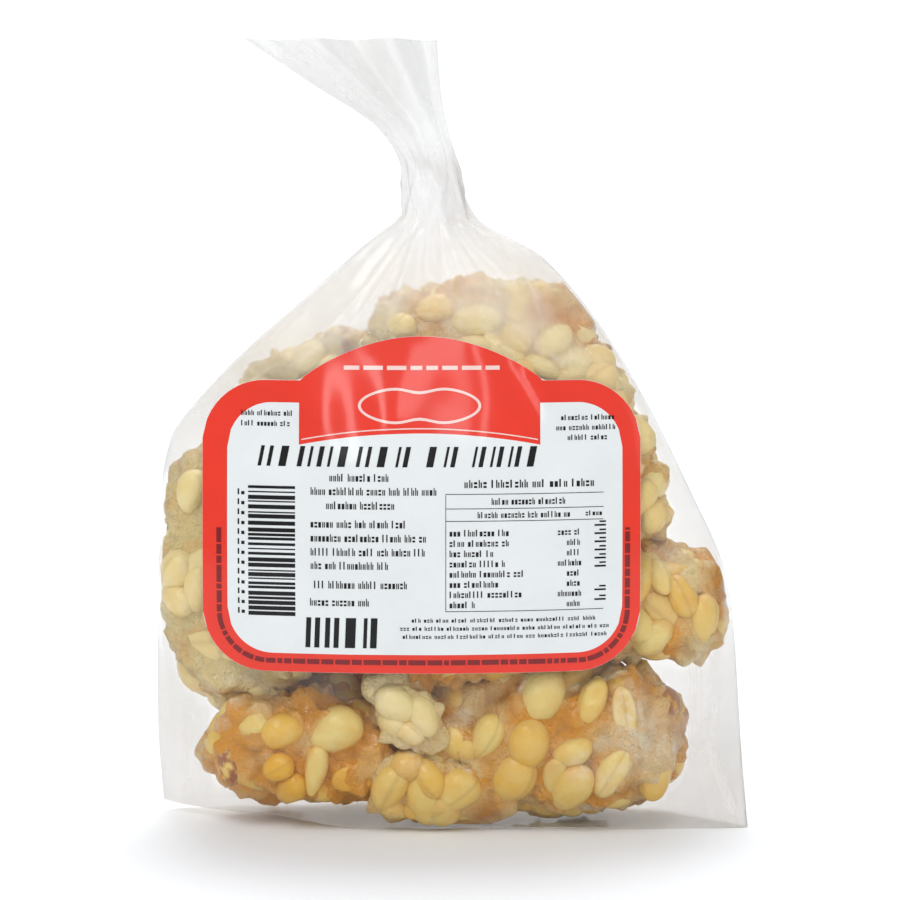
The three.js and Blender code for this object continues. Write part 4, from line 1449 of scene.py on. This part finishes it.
def lay_sweep(floor):
    """The floor and the backdrop in one: a flat strip, a quarter circle behind it, and an upright strip."""
    n = Nodes("pale_sweep")
    tone = n.mix(n.remap(n.noise(2.0, 2.0), 0.3, 0.7, 0.0, 0.02), rgba(floor), FLOOR_CLOUD)
    material = n.finish(n.shader("ShaderNodeBsdfPrincipled", {"Base Color": tone, "Roughness": 0.7}))
    turn = np.linspace(0, np.pi / 2, 25)
    bend = np.stack((SWEEP_BEND + SWEEP_RADIUS * np.sin(turn), SWEEP_RADIUS * (1 - np.cos(turn))), axis=-1)
    back = SWEEP_BEND + SWEEP_RADIUS
    profile = np.concatenate((((SWEEP_FRONT, 0.0),), bend, ((back, SWEEP_TOP),)))
    x = np.repeat((-SWEEP_HALF_WIDTH, SWEEP_HALF_WIDTH), len(profile))[:, None]
    points = np.hstack((x, np.tile(profile, (2, 1))))
    mesh = bpy.data.meshes.new("sweep")
    mesh.from_pydata(points, [], grid_faces(2, len(profile)).tolist())
    mesh.polygons.foreach_set("use_smooth", np.ones(len(mesh.polygons), bool))
    mesh.materials.append(material)
    sweep = bpy.data.objects.new("sweep", mesh)
    bpy.context.scene.collection.objects.link(sweep)


def set_camera(stage):
    """The camera, at its distance and elevation in front of the bag, with a lens for the width that it
    shows."""
    lens = bpy.data.cameras.new("camera")
    lens.sensor_width = SENSOR_WIDTH
    lens.lens = SENSOR_WIDTH * stage.distance / stage.view_width
    lens.clip_start = 0.01
    camera = bpy.data.objects.new("camera", lens)
    bpy.context.scene.collection.objects.link(camera)
    x, y, z = CAMERA_TARGET
    back, up = stage.distance * math.cos(stage.elevation), stage.distance * math.sin(stage.elevation)
    aim(camera, (x, y - back, z + up), CAMERA_TARGET)
    bpy.context.scene.camera = camera


class FUDGEBAG_OT_stage(bpy.types.Operator):
    """Set the stage: a pale sweep, soft lights and the camera"""

    bl_idname = "fudge_bag.stage"
    bl_label = "Stage"

    def execute(self, context):
        stage = context.scene.fudge_bag_stage
        lay_sweep(stage.floor)
        for light in LIGHTS:
            area_light(*light)
        world = context.scene.world or bpy.data.worlds.new("studio")
        context.scene.world = world
        world.use_nodes = True
        background = world.node_tree.nodes["Background"]
        background.inputs["Color"].default_value = WHITE
        background.inputs["Strength"].default_value = WORLD_STRENGTH
        set_camera(stage)
        context.scene.view_settings.view_transform = "Standard"
        context.scene.cycles.transparent_max_bounces = 64
        return {"FINISHED"}


class FUDGEBAG_PT_panel(bpy.types.Panel):
    """The bag of fudge, piece by piece"""

    bl_idname = "FUDGEBAG_PT_panel"
    bl_label = "Bag of Peanut Fudge"
    bl_space_type = "VIEW_3D"
    bl_region_type = "UI"
    bl_category = "Fudge Bag"

    def draw(self, context):
        for settings, operators in PANEL_ROWS:
            box = self.layout.box()
            group = getattr(context.scene, settings)
            for name in group.__annotations__:
                box.prop(group, name)
            for operator in operators:
                box.operator(operator.bl_idname)


SETTINGS = {
    "fudge_bag_fudge": FudgeBagFudge,
    "fudge_bag_film": FudgeBagFilm,
    "fudge_bag_label": FudgeBagLabel,
    "fudge_bag_stage": FudgeBagStage,
}
PANEL_ROWS = (
    ("fudge_bag_fudge", (FUDGEBAG_OT_blocks, FUDGEBAG_OT_peanuts)),
    ("fudge_bag_film", (FUDGEBAG_OT_film,)),
    ("fudge_bag_label", (FUDGEBAG_OT_label, FUDGEBAG_OT_print)),
    ("fudge_bag_stage", (FUDGEBAG_OT_stage,)),
)
OPERATORS = tuple(operator for _, operators in PANEL_ROWS for operator in operators)
CLASSES = (*SETTINGS.values(), *OPERATORS, FUDGEBAG_PT_panel)


def register():
    for each in CLASSES:
        bpy.utils.register_class(each)
    for name, group in SETTINGS.items():
        setattr(bpy.types.Scene, name, bpy.props.PointerProperty(type=group))


def unregister():
    for name in SETTINGS:
        delattr(bpy.types.Scene, name)
    for each in reversed(CLASSES):
        bpy.utils.unregister_class(each)


def main():
    register()
    bpy.ops.fudge_bag.blocks()
    bpy.ops.fudge_bag.peanuts()
    bpy.ops.fudge_bag.film()
    bpy.ops.fudge_bag.label()
    bpy.ops.fudge_bag.print()
    bpy.ops.fudge_bag.stage()


if __name__ == "__main__":
    main()
